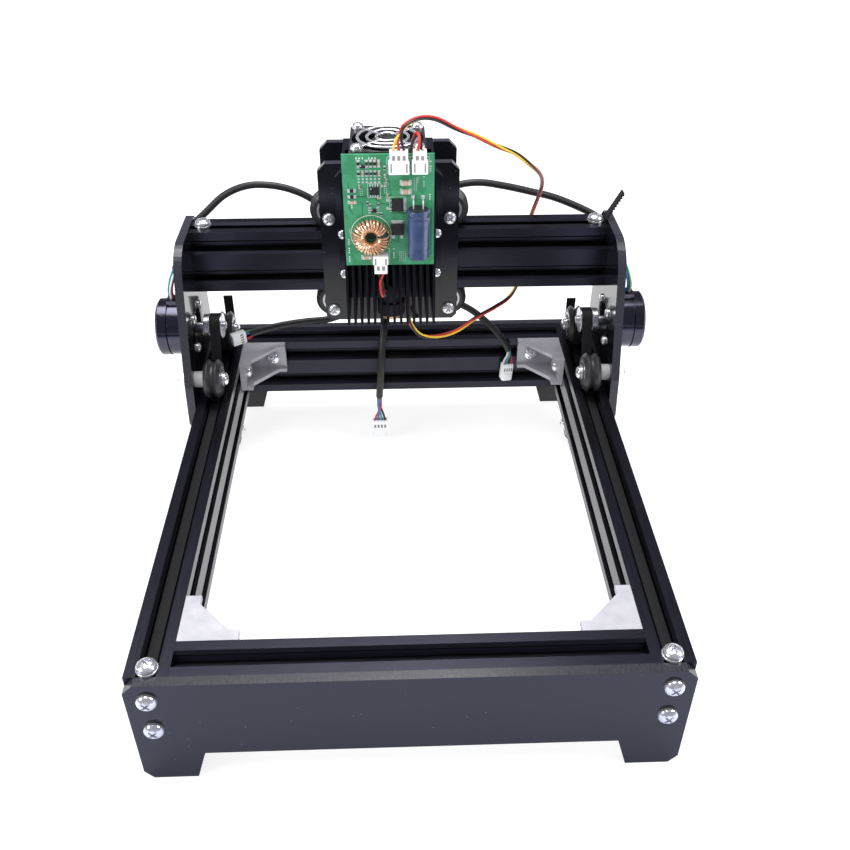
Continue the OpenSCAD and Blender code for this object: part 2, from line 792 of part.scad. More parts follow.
module fan_housing() {
    bore = fan_w / 2 - 1;
    color(black) translate([carriage_x, fan_y, sink_top]) {
        difference() {
            linear_extrude(fan_h) rounded(fan_w, fan_w, 3);
            translate([0, 0, -cut]) cylinder(h = fan_h + 2 * cut, r = bore);
            for (x = [-1, 1] * fan_screw, y = [-1, 1] * fan_screw)
                translate([x, y, -cut]) cylinder(h = fan_h + 2 * cut, r = 1.7);
        }
        difference() {
            union() {
                cylinder(h = 1.2, r = 9);
                for (a = [45:90:315]) rotate(a) translate([8, -1, 0]) cube([bore - 7.5, 2, 1.2]);
            }
            translate([0, 0, -cut]) cylinder(h = 1.2 + 2 * cut, r = 2);
        }
    }
}

// Rotor: hub, shaft and curved blades
module fan_rotor() {
    color("#202126") translate([carriage_x, fan_y, sink_top]) {
        translate([0, 0, 1.6]) cylinder(h = fan_h - 2.4, r = 9);
        cylinder(h = 1.7, r = 1.9);
        for (i = [0:blade_count - 1]) rotate(i * 360 / blade_count)
            translate([8.6, 0, 5.6]) rotate([35, 0, 0])
                linear_extrude(1, center = true)
                    intersection() {
                        translate([0, -5]) square([9.4, 9.6]);
                        translate([-8.6, 0]) circle(18);
                    }
    }
}

// Wire finger guard: rings and legs, with the four screws that hold it
module fan_guard() {
    color(steel) translate([carriage_x, fan_y, guard_z + 0.8]) {
        for (r = [6, 11, 16])
            rotate_extrude() translate([r, 0]) circle(0.8);
        for (a = [45:90:315]) rotate(a)
            translate([5, 0, 0]) along_x() cylinder(h = 15.5, r = 0.75);
        for (x = [-1, 1] * fan_screw, y = [-1, 1] * fan_screw) translate([x, y, 0]) {
            translate([0, 0, -0.8]) difference() {
                cylinder(h = 1.2, r = 3.2);
                translate([0, 0, -cut]) cylinder(h = 3, r = 1.6);
            }
            translate([0, 0, 0.4]) screw(fan_h + 1, m3_r, m3_head_r, m3_head_h);
        }
    }
}

// ---------- driver board ----------

module driver_board() {
    color("#1f9a5a") translate([board_x - board[0] / 2, board_face, board_z]) cube(board);
}

// Two adhesive foam strips that hold the board to the fins' front edges
pad = [38, 4.5, 9];
module board_pads() {
    color("#2a2a2e")
        for (z = [8, board[2] - pad[2] - 8])
            translate([board_x - pad[0] / 2, board_y, board_z + z]) cube(pad);
}

// A body of size [w, d, h] on the board's face, centred at (x, z)
module on_board(x, z, size) {
    translate([x - size[0] / 2, board_face - size[1], z - size[2] / 2]) cube(size);
}

// Chips and small passives
module board_chips() {
    color("#2a2a2e") {
        on_board(-14, 209.5, [5, 1.6, 4.2]);
        on_board(-2, 201.8, [6.1, 2.3, 6.6]);
        on_board(-2.2, 188.2, [6.6, 2.3, 6.1]);
        for (i = [0:5], z = [218.6, 223.8]) on_board(-21.7 + i * 2.1, z, [1.2, 0.5, 2.8]);
        for (z = [209.4, 206.2, 203.1]) on_board(-25.6, z, [3.3, 0.6, 1.6]);
        for (z = [208.8, 213.5]) on_board(2.4, z, [4.6, 1.4, 2.5]);
    }
}

coil_at = [-16.3, 185];
coil_r = 6.5;
module board_inductor() {
    color("#b5673a") translate([coil_at[0], board_face - 3.9, coil_at[1]]) along_y()
        rotate_extrude() translate([coil_r, 0]) circle(3.7);
}

cap_r = 5.8;
cap_x = 8.7;
module board_capacitor() {
    color("#24347e") translate([cap_x, board_face - cap_r - 0.1, 174.5])
        rotate_extrude() polygon([
            [0, 0], [cap_r - 0.4, 0], [cap_r, 0.4], [cap_r, 22], [cap_r - 0.6, 22.8],
            [cap_r - 0.6, 23.6], [cap_r, 24.4], [cap_r, 26.4], [cap_r - 0.8, 27.2], [0, 27.2]
        ]);
    color(steel) for (x = [-2.5, 2.5])
        translate([cap_x + x, board_face - cap_r - 0.1, 201.6]) cylinder(h = 4, r = 0.4);
}

// Header of height h with its wire housing plugged in from above; header's foot on z = 0
module connector(x, w, h = 6) {
    translate([x - w / 2, board_face - 6, 0]) cube([w, 6, h]);
    translate([x - w / 2 + 0.6, board_face - 5.2, h - 0.1]) cube([w - 1.2, 4.4, 5.9]);
}

top_header_z = 219.9;
low_header_z = 174.7;
module board_connectors() {
    color("white") {
        translate([0, 0, top_header_z]) connector(-1, 10.5);
        translate([0, 0, top_header_z]) connector(9.6, 8);
        translate([0, 0, low_header_z]) mirror([0, 0, 1]) connector(-11.5, 8.2, 4.9);
    }
}

// ---------- cables ----------

// Tube through the points of p, diameter d, closed at both ends
function tangent(p, i) = unit(p[min(i + 1, len(p) - 1)] - p[max(i - 1, 0)]);
function cord_side(p, i, v) =
    let (t = tangent(p, i), s = unit(v - t * (v * t)))
    i == len(p) - 1 ? [s] : concat([s], cord_side(p, i + 1, s));
module cord(p, d, sides = 8) {
    seed = abs(tangent(p, 0) * [1, 0, 0]) > 0.9 ? [0, 1, 0] : [1, 0, 0];
    side = cord_side(p, 0, seed);
    last = (len(p) - 1) * sides;
    points = [
        for (i = [0:len(p) - 1], k = [0:sides - 1])
            let (a = 360 * k / sides, up = cross(tangent(p, i), side[i]))
            p[i] + (side[i] * cos(a) + up * sin(a)) * d / 2
    ];
    walls = [
        for (i = [0:len(p) - 2], k = [0:sides - 1])
            let (a = i * sides + k, b = i * sides + (k + 1) % sides)
            each [[a, b + sides, b], [a, a + sides, b + sides]]
    ];
    polyhedron(points, concat(
        walls, [[for (k = [0:sides - 1]) k]], [[for (k = [sides - 1:-1:0]) last + k]]
    ));
}

// Four-way wire housing hanging from the end of a cable: cord face at z = 0, body below
plug = [10, 5.5, 12];
narrow_plug_w = 7.4;
module cable_plug(w = plug[0]) {
    translate([-w / 2, -plug[1] / 2, -plug[2]]) cube([w, plug[1], plug[2]]);
    translate([-w / 2 + 1, -plug[1] / 2 - 0.6, -plug[2]]) cube([w - 2, 0.7, 5]);
}

module at_end(p) {
    d = unit(p[len(p) - 1] - p[len(p) - 2]);
    translate(p[len(p) - 1]) rotate([0, acos(-d[2]), atan2(-d[1], -d[0])]) children();
}

module left_motor_cable() { color(black) cord(left_cable, cable_d); }
module right_motor_cable() { color(black) cord(right_cable, cable_d); }
module motor_cable_plugs() {
    color("white") {
        at_end(left_cable) cable_plug(narrow_plug_w);
        at_end(right_cable) scale(0.8) cable_plug();
    }
}
module x_motor_cable() { color(black) cord(x_cable, cable_d); }
module x_cable_plug() { color("white") at_end(x_cable) cable_plug(); }
module laser_lead() { color("#c8a830") cord(laser_route, lead_d); }
module board_leads() {
    color("#a02020") {
        cord(fan_route, wire_d);
        cord(loop_route, wire_d);
    }
}

// ---------- assembly ----------

left_rail();
right_rail();
front_crossbar();
rear_crossbar();
front_plate();
rear_plate();
corner_brackets();
frame_screws();
y_belts();
y_belt_clamps();
left_side_plate();
right_side_plate();
gantry_beam();
gantry_screws();
left_y_motor();
right_y_motor();
rail_wheel_spacers();
rail_wheel_axles();
y_belt_loops();
x_belt();
left_front_wheel();
left_rear_wheel();
left_lower_wheel();
right_front_wheel();
right_rear_wheel();
right_lower_wheel();
carriage_wheel_1();
carriage_wheel_2();
carriage_wheel_3();
carriage_wheel_4();
left_y_pulley();
right_y_pulley();
x_pulley();
carriage_front_plate();
carriage_rear_plate();
carriage_spacers();
carriage_axles();
carriage_screws();
x_motor();
x_belt_loop();
laser_mount_plate();
laser_heatsink();
laser_lens_barrel();
fan_housing();
fan_guard();
fan_rotor();
driver_board();
board_pads();
board_chips();
board_inductor();
board_capacitor();
board_connectors();
left_motor_cable();
right_motor_cable();
motor_cable_plugs();
x_motor_cable();
x_cable_plug();
laser_lead();
board_leads();
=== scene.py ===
"""Looks of a small desktop laser engraver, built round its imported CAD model."""

import math

import bmesh
import bpy
from mathutils import Matrix, Vector


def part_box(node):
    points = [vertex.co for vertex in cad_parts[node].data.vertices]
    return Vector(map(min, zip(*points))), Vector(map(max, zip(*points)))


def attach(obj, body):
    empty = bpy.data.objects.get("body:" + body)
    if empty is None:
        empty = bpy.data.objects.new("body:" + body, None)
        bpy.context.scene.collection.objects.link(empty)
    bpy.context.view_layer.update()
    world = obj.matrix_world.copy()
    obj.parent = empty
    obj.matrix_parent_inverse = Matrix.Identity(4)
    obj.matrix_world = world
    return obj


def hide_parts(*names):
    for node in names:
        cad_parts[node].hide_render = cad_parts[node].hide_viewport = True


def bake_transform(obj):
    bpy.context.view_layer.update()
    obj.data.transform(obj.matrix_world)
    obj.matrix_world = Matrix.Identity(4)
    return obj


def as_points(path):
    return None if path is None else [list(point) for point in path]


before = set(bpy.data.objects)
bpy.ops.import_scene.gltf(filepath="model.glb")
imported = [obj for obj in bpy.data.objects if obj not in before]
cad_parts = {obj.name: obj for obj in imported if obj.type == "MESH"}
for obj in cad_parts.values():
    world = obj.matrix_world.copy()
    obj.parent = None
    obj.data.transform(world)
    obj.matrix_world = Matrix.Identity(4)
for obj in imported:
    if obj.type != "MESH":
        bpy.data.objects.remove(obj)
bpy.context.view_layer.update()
scene = bpy.context.scene
MM = 0.001
X, Y, Z = Vector((1, 0, 0)), Vector((0, 1, 0)), Vector((0, 0, 1))


def mm(*values):
    """A point, or a length, given in millimetres."""
    return Vector(values) * MM if len(values) > 1 else values[0] * MM


def centre(node):
    """The middle of a CAD node's box."""
    low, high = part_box(node)
    return (low + high) / 2


# ---------- camera ----------

def add_camera(place, yaw, pitch, roll, lens):
    """A camera that looks along +Y, turned by yaw to +X, pitched down and rolled, in degrees."""
    yaw, pitch, roll = (math.radians(a) for a in (yaw, pitch, roll))
    forward = Vector((
        math.sin(yaw) * math.cos(pitch), math.cos(yaw) * math.cos(pitch), -math.sin(pitch)
    ))
    right = Vector((math.cos(yaw), -math.sin(yaw), 0))
    up = right.cross(forward)
    turned = right * math.cos(roll) + up * math.sin(roll)
    up = up * math.cos(roll) - right * math.sin(roll)
    data = bpy.data.cameras.new("camera")
    data.lens, data.sensor_width = lens, 36
    data.clip_start, data.clip_end = 0.01, 50
    camera = bpy.data.objects.new("camera", data)
    axes = Matrix((turned, up, -forward)).transposed().to_4x4()
    camera.matrix_world = Matrix.Translation(place) @ axes
    scene.collection.objects.link(camera)
    scene.camera = camera


add_camera(Vector((-0.0049, -0.4217, 0.4010)), 2.16, 36.33, 0.15, 40.0)


# ---------- materials ----------

class Look:
    """A Principled material, built up node by node. Its textures are measured in millimetres."""

    def __init__(self, name, color, roughness, metallic=0.0, **sockets):
        self.material = bpy.data.materials.new(name)
        self.material.use_nodes = True
        self.tree = self.material.node_tree
        self.shader = self.tree.nodes["Principled BSDF"]
        self.set("Base Color", (*color, 1))
        self.set("Roughness", roughness)
        self.set("Metallic", metallic)
        for key, value in sockets.items():
            self.set(key.replace("_", " "), value)
        self.point = self.add("ShaderNodeTexCoord").outputs["Object"]
        self.normal = None

    def add(self, kind, **settings):
        node = self.tree.nodes.new(kind)
        for key, value in settings.items():
            setattr(node, key, value)
        return node

    def join(self, value, socket):
        if isinstance(value, bpy.types.NodeSocket):
            self.tree.links.new(value, socket)
        else:
            socket.default_value = value

    def set(self, socket, value):
        self.join(value, self.shader.inputs[socket])

    def spot(self, stretch=(1, 1, 1), shift=(0, 0, 0)):
        """Object coordinates in millimetres, stretched along the axes."""
        node = self.add("ShaderNodeMapping")
        self.join(self.point, node.inputs["Vector"])
        node.inputs["Scale"].default_value = [1 / MM / s for s in stretch]
        node.inputs["Location"].default_value = shift
        return node.outputs[0]

    def noise(self, size, stretch=(1, 1, 1), detail=3):
        node = self.add("ShaderNodeTexNoise")
        self.join(self.spot(stretch), node.inputs["Vector"])
        node.inputs["Scale"].default_value = 1 / size
        node.inputs["Detail"].default_value = detail
        return node.outputs["Fac"]

    def ramp(self, value, *stops):
        """Colours or grey levels at places from 0 to 1: (place, level)."""
        node = self.add("ShaderNodeValToRGB")
        self.join(value, node.inputs[0])
        keys = node.color_ramp.elements
        while len(keys) < len(stops):
            keys.new(0.5)
        for key, (place, level) in zip(keys, stops):
            key.position = place
            key.color = (*level, 1) if isinstance(level, tuple) else (level,) * 3 + (1,)
        return node.outputs[0]

    def math(self, operation, a, b=0.0):
        node = self.add("ShaderNodeMath", operation=operation)
        self.join(a, node.inputs[0])
        self.join(b, node.inputs[1])
        return node.outputs[0]

    def mix(self, factor, a, b):
        node = self.add("ShaderNodeMix", data_type="RGBA")
        for value, i in ((factor, 0), (a, 6), (b, 7)):
            self.join((*value, 1) if isinstance(value, tuple) else value, node.inputs[i])
        return node.outputs[2]

    def specks(self, size, share, dot=0.1):
        """1 on small dots: about share of the cells of that size hold one."""
        node = self.add("ShaderNodeTexVoronoi")
        self.join(self.spot(), node.inputs["Vector"])
        node.inputs["Scale"].default_value = 1 / size
        split = self.add("ShaderNodeSeparateColor")
        self.join(node.outputs["Color"], split.inputs[0])
        near = self.math("LESS_THAN", node.outputs["Distance"], dot)
        return self.math("MULTIPLY", near, self.math("LESS_THAN", split.outputs[0], share))

    def bump(self, height, depth):
        """Raises the surface by depth millimetres times height."""
        node = self.add("ShaderNodeBump")
        node.inputs["Distance"].default_value = depth * MM
        self.join(height, node.inputs["Height"])
        if self.normal:
            self.join(self.normal, node.inputs["Normal"])
        self.normal = node.outputs[0]
        self.set("Normal", self.normal)

    def round_edges(self, radius):
        node = self.add("ShaderNodeBevel", samples=3)
        node.inputs["Radius"].default_value = radius * MM
        self.normal = node.outputs[0]
        self.set("Normal", self.normal)


def tones(look, value, dark, light):
    """Base colour between two tones, by a noise value."""
    look.set("Base Color", look.ramp(value, (0.3, dark), (0.7, light)))


def anodised(name, along, dark=0.034, light=0.041, roughness=0.3):
    """Black anodised aluminium with fine drawing lines along one axis."""
    look = Look(name, (dark,) * 3, roughness, 1.0)
    look.round_edges(0.25)
    stretch = [1 + 60 * a for a in along]
    lines = look.noise(0.35, stretch, 2)
    cloud = look.noise(18)
    tones(look, look.math("ADD", look.math("MULTIPLY", lines, 0.5),
                          look.math("MULTIPLY", cloud, 0.5)),
          (dark, dark, dark * 1.3), (light, light, light * 1.34))
    rough = look.ramp(lines, (0.3, roughness - 0.03), (0.7, roughness + 0.03))
    dust = look.specks(6, 0.3, 0.03)
    look.set("Metallic", look.math("SUBTRACT", 1.0, dust))
    look.set("Roughness", look.mix(dust, rough, (0.7,) * 3))
    look.bump(lines, 0.002)
    return look.material


def acrylic(name="acrylic", roughness=0.07, tint=(0.0055, 0.006, 0.009)):
    """Glossy black acrylic sheet: faint ripple, smears and dust."""
    look = Look(name, tint, roughness, IOR=1.5)
    look.round_edges(0.2)
    smear = look.noise(24, (1, 1, 1), 5)
    dust = look.specks(4, 0.35, 0.045)
    look.set("Base Color", look.mix(dust, tint, (0.3, 0.3, 0.34)))
    rough = look.ramp(smear, (0.35, roughness), (0.75, roughness + 0.09))
    look.set("Roughness", look.mix(dust, rough, (0.8,) * 3))
    look.bump(look.noise(40, (1, 1, 1), 1), 0.05)
    return look.material


def cut_acrylic():
    """The sheet's laser-cut edge: fine strokes across the thickness, a little lighter."""
    look = Look("acrylic_edge", (0.02, 0.02, 0.026), 0.22, IOR=1.5)
    look.round_edges(0.2)
    strokes = look.noise(0.5, (1, 8, 1), 2)
    tones(look, strokes, (0.014, 0.014, 0.02), (0.034, 0.034, 0.044))
    look.bump(strokes, 0.02)
    return look.material


def die_cast():
    """Light grey die-cast metal with a tumbled surface."""
    look = Look("die_cast", (0.45, 0.45, 0.48), 0.45, 0.35)
    look.round_edges(0.5)
    grain = look.noise(0.5, (1, 1, 1), 4)
    cloud = look.noise(9)
    tones(look, cloud, (0.36, 0.356, 0.39), (0.45, 0.446, 0.485))
    look.set("Roughness", look.ramp(grain, (0.3, 0.38), (0.7, 0.55)))
    look.bump(grain, 0.05)
    return look.material


def metal(name, color, roughness, grain=0.5, depth=0.01, edge=0.15, metallic=1.0):
    """Bare or plated metal with fine handling marks."""
    look = Look(name, color, roughness, metallic)
    look.round_edges(edge)
    marks = look.noise(grain, (1, 1, 1), 4)
    cloud = look.noise(3)
    tones(look, cloud, tuple(0.86 * c for c in color), color)
    look.set("Roughness", look.ramp(marks, (0.3, roughness), (0.75, roughness + 0.14)))
    look.bump(marks, depth)
    return look.material


def plastic(name, color, roughness, grain=0.4, depth=0.012, edge=0.2, spread=0.25, **sockets):
    """Moulded plastic: fine grain, slight tone changes."""
    look = Look(name, color, roughness, **sockets)
    look.round_edges(edge)
    texture = look.noise(grain, (1, 1, 1), 3)
    cloud = look.noise(6)
    tones(look, cloud, tuple(c * (1 - spread) for c in color), color)
    look.set("Roughness", look.ramp(texture, (0.3, roughness - 0.05), (0.7, roughness + 0.08)))
    look.bump(texture, depth)
    return look.material


def belt_rubber():
    """Neoprene belt: matt black with a woven backing."""
    look = Look("belt_rubber", (0.012, 0.012, 0.014), 0.6, Specular_IOR_Level=0.2)
    weave = look.noise(0.3, (1, 1, 1), 2)
    tones(look, weave, (0.004, 0.004, 0.005), (0.014, 0.014, 0.016))
    look.bump(weave, 0.05)
    return look.material


def solder_mask():
    """Green board: copper pours show through the mask as two tones, with small pinholes."""
    look = Look("solder_mask", (0.03, 0.3, 0.13), 0.3, IOR=1.5)
    look.round_edges(0.1)
    pour = look.noise(7, (1, 1, 1), 1)
    fine = look.noise(0.4)
    tone = look.ramp(pour, (0.47, (0.036, 0.235, 0.108)), (0.5, (0.05, 0.285, 0.14)))
    vias = look.specks(2.2, 0.5, 0.07)
    look.set("Base Color", look.mix(vias, tone, (0.45, 0.5, 0.42)))
    look.set("Roughness", look.ramp(fine, (0.3, 0.22), (0.7, 0.36)))
    look.bump(pour, 0.02)
    look.bump(fine, 0.008)
    return look.material


def capacitor_sleeve():
    """Blue heat-shrink sleeve with a faded stripe down its right side."""
    look = Look("capacitor_sleeve", (0.03, 0.06, 0.2), 0.28, Coat_Weight=0.3)
    split = look.add("ShaderNodeSeparateXYZ")
    look.join(look.spot(), split.inputs[0])
    x = split.outputs["X"]
    wave = look.noise(2.4, (1, 1, 2), 2)
    body = look.ramp(wave, (0.3, (0.022, 0.042, 0.12)), (0.7, (0.032, 0.055, 0.145)))
    stripe = look.math("MULTIPLY", look.math("GREATER_THAN", x, 11.6),
                       look.math("LESS_THAN", x, 13.2))
    stripe = look.math("MULTIPLY", stripe, look.ramp(look.noise(1.5), (0.4, 0.12), (0.6, 0.3)))
    look.set("Base Color", look.mix(stripe, body, (0.3, 0.26, 0.26)))
    look.set("Roughness", look.ramp(wave, (0.3, 0.26), (0.7, 0.34)))
    look.bump(wave, 0.012)
    return look.material


def enamelled_copper():
    """Bright winding wire under clear enamel."""
    look = Look("enamelled_copper", (0.75, 0.38, 0.2), 0.22, 0.75)
    cloud = look.noise(1.6, (1, 1, 1), 3)
    tones(look, cloud, (0.72, 0.38, 0.2), (1.0, 0.68, 0.46))
    look.set("Roughness", look.ramp(cloud, (0.3, 0.16), (0.7, 0.32)))
    look.bump(look.noise(0.3), 0.01)
    return look.material


def glass():
    """Coated lens: blue-violet bloom on clear glass."""
    look = Look("lens_glass", (0.45, 0.55, 0.85), 0.03, IOR=1.6, Transmission_Weight=0.6)
    bloom = look.noise(2.5)
    tones(look, bloom, (0.35, 0.42, 0.8), (0.55, 0.65, 0.9))
    look.bump(bloom, 0.01)
    return look.material


ALONG_X, ALONG_Y, ALONG_Z = (1, 0, 0), (0, 1, 0), (0, 0, 1)
EXTRUSION_X = anodised("anodised_along_x", ALONG_X)
EXTRUSION_Y = anodised("anodised_along_y", ALONG_Y)
FINS = anodised("heatsink_black", ALONG_Z, 0.018, 0.03, 0.36)
MOTOR = anodised("motor_black", ALONG_X, 0.06, 0.085, 0.17)
ACRYLIC = acrylic()
ACRYLIC_EDGE = cut_acrylic()
DIE_CAST = die_cast()
CHROME = metal("chrome", (0.9, 0.9, 0.93), 0.14, 0.8, 0.008, metallic=0.88)
STEEL = metal("bearing_steel", (0.62, 0.62, 0.65), 0.25)
BRASS = metal("brass", (0.78, 0.55, 0.27), 0.28)
PULLEY = metal("pulley_aluminium", (0.72, 0.72, 0.75), 0.28)
TIN = metal("tinned", (0.88, 0.88, 0.9), 0.3, 0.2, metallic=0.6)
WHEEL = plastic("wheel_black", (0.022, 0.022, 0.025), 0.34)
SHIELD = plastic("bearing_shield", (0.05, 0.05, 0.055), 0.45)
SPACER = plastic("spacer_white", (0.4, 0.4, 0.42), 0.45, spread=0.12)
PLUG = plastic("plug_white", (0.95, 0.95, 0.95), 0.38, spread=0.04, Subsurface_Weight=0.1)
# Flat grey patches stand in for the plugs' and headers' windows, slots and wire cavities: painted
# shade of the holes' insides.
HOLE_SHADE = plastic("plug_hole_shade", (0.3, 0.29, 0.29), 0.6, 0.3)
FOAM = plastic("pad_foam", (0.03, 0.03, 0.034), 0.85, 0.25, 0.06)
FAN = plastic("fan_plastic", (0.018, 0.018, 0.021), 0.36)
CHIP = plastic("chip_black", (0.014, 0.014, 0.017), 0.5, 0.15)
# The ferrite ring's dark green, also used for the painted-shade disc in its hole.
CORE_AND_HOLE_SHADE = plastic("core_green_and_hole_shade", (0.03, 0.05, 0.045), 0.6, 0.5)
JACKET = plastic("cable_jacket", (0.018, 0.018, 0.02), 0.42, 0.6, 0.03)
SILK = plastic("silkscreen", (0.85, 0.87, 0.85), 0.5, 0.2)
TRACE = plastic("trace_green", (0.01, 0.125, 0.055), 0.3, 0.3)
CERAMIC = plastic("ceramic_tan", (0.55, 0.4, 0.27), 0.4, 0.3)
WIRES = {
    name: plastic("wire_" + name, color, 0.34, 0.5, 0.02)
    for name, color in {
        "red": (0.6, 0.03, 0.025), "black": (0.016, 0.016, 0.018), "yellow": (0.9, 0.55, 0.03),
        "white": (0.75, 0.75, 0.76), "teal": (0.03, 0.3, 0.33), "blue": (0.06, 0.16, 0.5),
        "green": (0.03, 0.3, 0.12),
    }.items()
}
BELT = belt_rubber()
BOARD = solder_mask()
SLEEVE = capacitor_sleeve()
COPPER = enamelled_copper()
GLASS = glass()


# ---------- mesh helpers ----------

SHARP = math.radians(35)


class Piece:
    """A new mesh piece, put together from boxes, tubes and turned forms."""

    def __init__(self, name, *materials):
        self.name = name
        self.materials = materials
        self.bm = bmesh.new()

    def faces(self, verts, loops, material=0):
        points = [self.bm.verts.new(v) for v in verts]
        for loop in loops:
            self.bm.faces.new([points[i] for i in loop]).material_index = material
        return points

    def box(self, low, high, material=0, bevel=0.0):
        made = bmesh.ops.create_cube(self.bm, size=1)["verts"]
        low, high = Vector(low), Vector(high)
        size = high - low
        for v in made:
            v.co = (low + high) / 2 + Vector(c * s for c, s in zip(v.co, size))
        edges = {e for v in made for e in v.link_edges}
        faces = {f for v in made for f in v.link_faces}
        for f in faces:
            f.material_index = material
        if bevel:
            bmesh.ops.bevel(self.bm, geom=list(edges), offset=bevel, segments=2,
                            affect="EDGES", profile=0.5)

    def tube(self, line, radius, material=0, sides=10):
        """A round tube along a line; radius is one number or one for each point."""
        radii = radius if isinstance(radius, list) else [radius] * len(line)
        rings = []
        for (point, side, up), r in zip(framed(line), radii):
            rings.append([
                point + (side * math.cos(a) + up * math.sin(a)) * r
                for a in (math.tau * k / sides for k in range(sides))
            ])
        self.skin(rings, material)

    def skin(self, rings, material=0, closed=False):
        """Joins rings of equal length by quads, and caps the two ends."""
        n = len(rings[0])
        verts = [p for ring in rings for p in ring]
        count = len(rings)
        loops = []
        for i in range(count if closed else count - 1):
            j = (i + 1) % count
            loops += [[i * n + k, i * n + (k + 1) % n, j * n + (k + 1) % n, j * n + k]
                      for k in range(n)]
        if not closed:
            loops += [list(range(n))[::-1], [(count - 1) * n + k for k in range(n)]]
        self.faces(verts, loops, material)

    def turned(self, profile, origin, axis, material=0, segments=48):
        """A solid of revolution: profile is a list of (radius, distance along the axis)."""
        side = axis.orthogonal().normalized()
        up = axis.cross(side)
        rings = [
            [origin + axis * h + (side * math.cos(a) + up * math.sin(a)) * max(r, 1e-6)
             for a in (math.tau * k / segments for k in range(segments))]
            for r, h in profile
        ]
        self.skin(rings, material)

    def prism(self, outline, depth, material=0):
        """An outline of points, drawn out by the vector depth."""
        n = len(outline)
        verts = outline + [p + depth for p in outline]
        loops = [[i, (i + 1) % n, n + (i + 1) % n, n + i] for i in range(n)]
        self.faces(verts, loops + [list(range(n))[::-1], list(range(n, 2 * n))], material)

    def finish(self, body=None, replaces=(), slot=None):
        bmesh.ops.recalc_face_normals(self.bm, faces=self.bm.faces)
        for face in self.bm.faces:
            face.smooth = True
        for edge in self.bm.edges:
            edge.smooth = len(edge.link_faces) == 2 and edge.calc_face_angle(9) < SHARP
        mesh = bpy.data.meshes.new(self.name)
        self.bm.to_mesh(mesh)
        self.bm.free()
        for material in self.materials:
            mesh.materials.append(material)
        piece = bpy.data.objects.new(self.name, mesh)
        scene.collection.objects.link(piece)
        if body:
            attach(piece, body)
        if replaces:
            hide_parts(*replaces)
        return piece


def framed(line):
    """(point, side, up) along a line, without twist."""
    out = []
    side = None
    for i, point in enumerate(line):
        ahead = (line[min(i + 1, len(line) - 1)] - line[max(i - 1, 0)]).normalized()
        if side is None:
            side = X if abs(ahead.x) < 0.9 else Y
        side = (side - ahead * side.dot(ahead)).normalized()
        out.append((point, side, ahead.cross(side)))
    return out


def smooth(points, step=0.0012):
    """A Catmull-Rom curve through the points, in steps of about that length."""
    p = [Vector(q) for q in points]
    p = [2 * p[0] - p[1], *p, 2 * p[-1] - p[-2]]
    line = []
    for a, b, c, d in zip(p, p[1:], p[2:], p[3:]):
        count = max(2, round((c - b).length / step))
        for i in range(count):
            t = i / count
            line.append(0.5 * (2 * b + (c - a) * t + (2 * a - 5 * b + 4 * c - d) * t * t
                               + (3 * b - a - 3 * c + d) * t ** 3))
    return line + [p[-2]]


def lengths(line):
    """Distance along the line at each of its points."""
    out = [0.0]
    for a, b in zip(line, line[1:]):
        out.append(out[-1] + (b - a).length)
    return out


def strands(line, count, reach, turns, pitch=0.0, end_pitch=0.0, ease=0.012):
    """Lines of the wires in a bundle: twisted round each other, and side by side, pitch
    apart along X, where they leave or enter a connector."""
    far = lengths(line)
    wires = [[] for _ in range(count)]
    for (point, side, up), s in zip(framed(line), far):
        start = max(0.0, 1 - s / ease) if pitch else 0.0
        end = max(0.0, 1 - (far[-1] - s) / ease) if end_pitch else 0.0
        fan = max(start, end)
        fan = fan * fan * (3 - 2 * fan)
        for k, wire in enumerate(wires):
            a = math.tau * (k / count + turns * s / far[-1])
            twisted = (side * math.cos(a) + up * math.sin(a)) * reach
            row = side * (k - (count - 1) / 2) * (pitch if start > end else end_pitch)
            wire.append(point + twisted.lerp(row, fan))
    return wires


# ---------- cords ----------

LEFT_CABLE = [
    (-0.142, 0.100, 0.1183), (-0.142, 0.100, 0.124), (-0.1405, 0.104, 0.1305),
    (-0.138, 0.110, 0.1352), (-0.1368, 0.118, 0.1364), (-0.1368, 0.127, 0.137),
    (-0.1369, 0.136, 0.1395), (-0.1353, 0.144, 0.1435), (-0.1245, 0.152, 0.1515),
    (-0.112, 0.157, 0.161), (-0.098, 0.158, 0.1665), (-0.084, 0.158, 0.167),
    (-0.070, 0.158, 0.164), (-0.057, 0.157, 0.158), (-0.044, 0.155, 0.148),
    (-0.031, 0.1545, 0.135), (-0.017, 0.153, 0.120), (-0.002, 0.1505, 0.1075),
    (0.014, 0.1475, 0.098), (0.030, 0.1435, 0.0915), (0.046, 0.139, 0.0855),
    (0.0585, 0.133, 0.0775), (0.0675, 0.1272, 0.069), (0.073, 0.1252, 0.059),
    (0.0723, 0.125, 0.050),
]
RIGHT_CABLE = [
    (0.142, 0.100, 0.1183), (0.142, 0.100, 0.124), (0.1405, 0.104, 0.1305),
    (0.138, 0.110, 0.1352), (0.1368, 0.118, 0.1364), (0.1368, 0.127, 0.137),
    (0.1369, 0.136, 0.139), (0.1353, 0.144, 0.1423), (0.1245, 0.1515, 0.148),
    (0.103, 0.158, 0.1555), (0.085, 0.158, 0.1605), (0.068, 0.158, 0.1645),
    (0.052, 0.158, 0.167), (0.038, 0.158, 0.1655), (0.027, 0.1583, 0.1595),
    (0.018, 0.1585, 0.149), (0.010, 0.1585, 0.136), (0.002, 0.1583, 0.122),
    (-0.008, 0.1568, 0.108), (-0.020, 0.1525, 0.094), (-0.033, 0.146, 0.083),
    (-0.048, 0.140, 0.079), (-0.064, 0.135, 0.080), (-0.079, 0.130, 0.0805),
    (-0.093, 0.1235, 0.0805), (-0.103, 0.1175, 0.080),
]
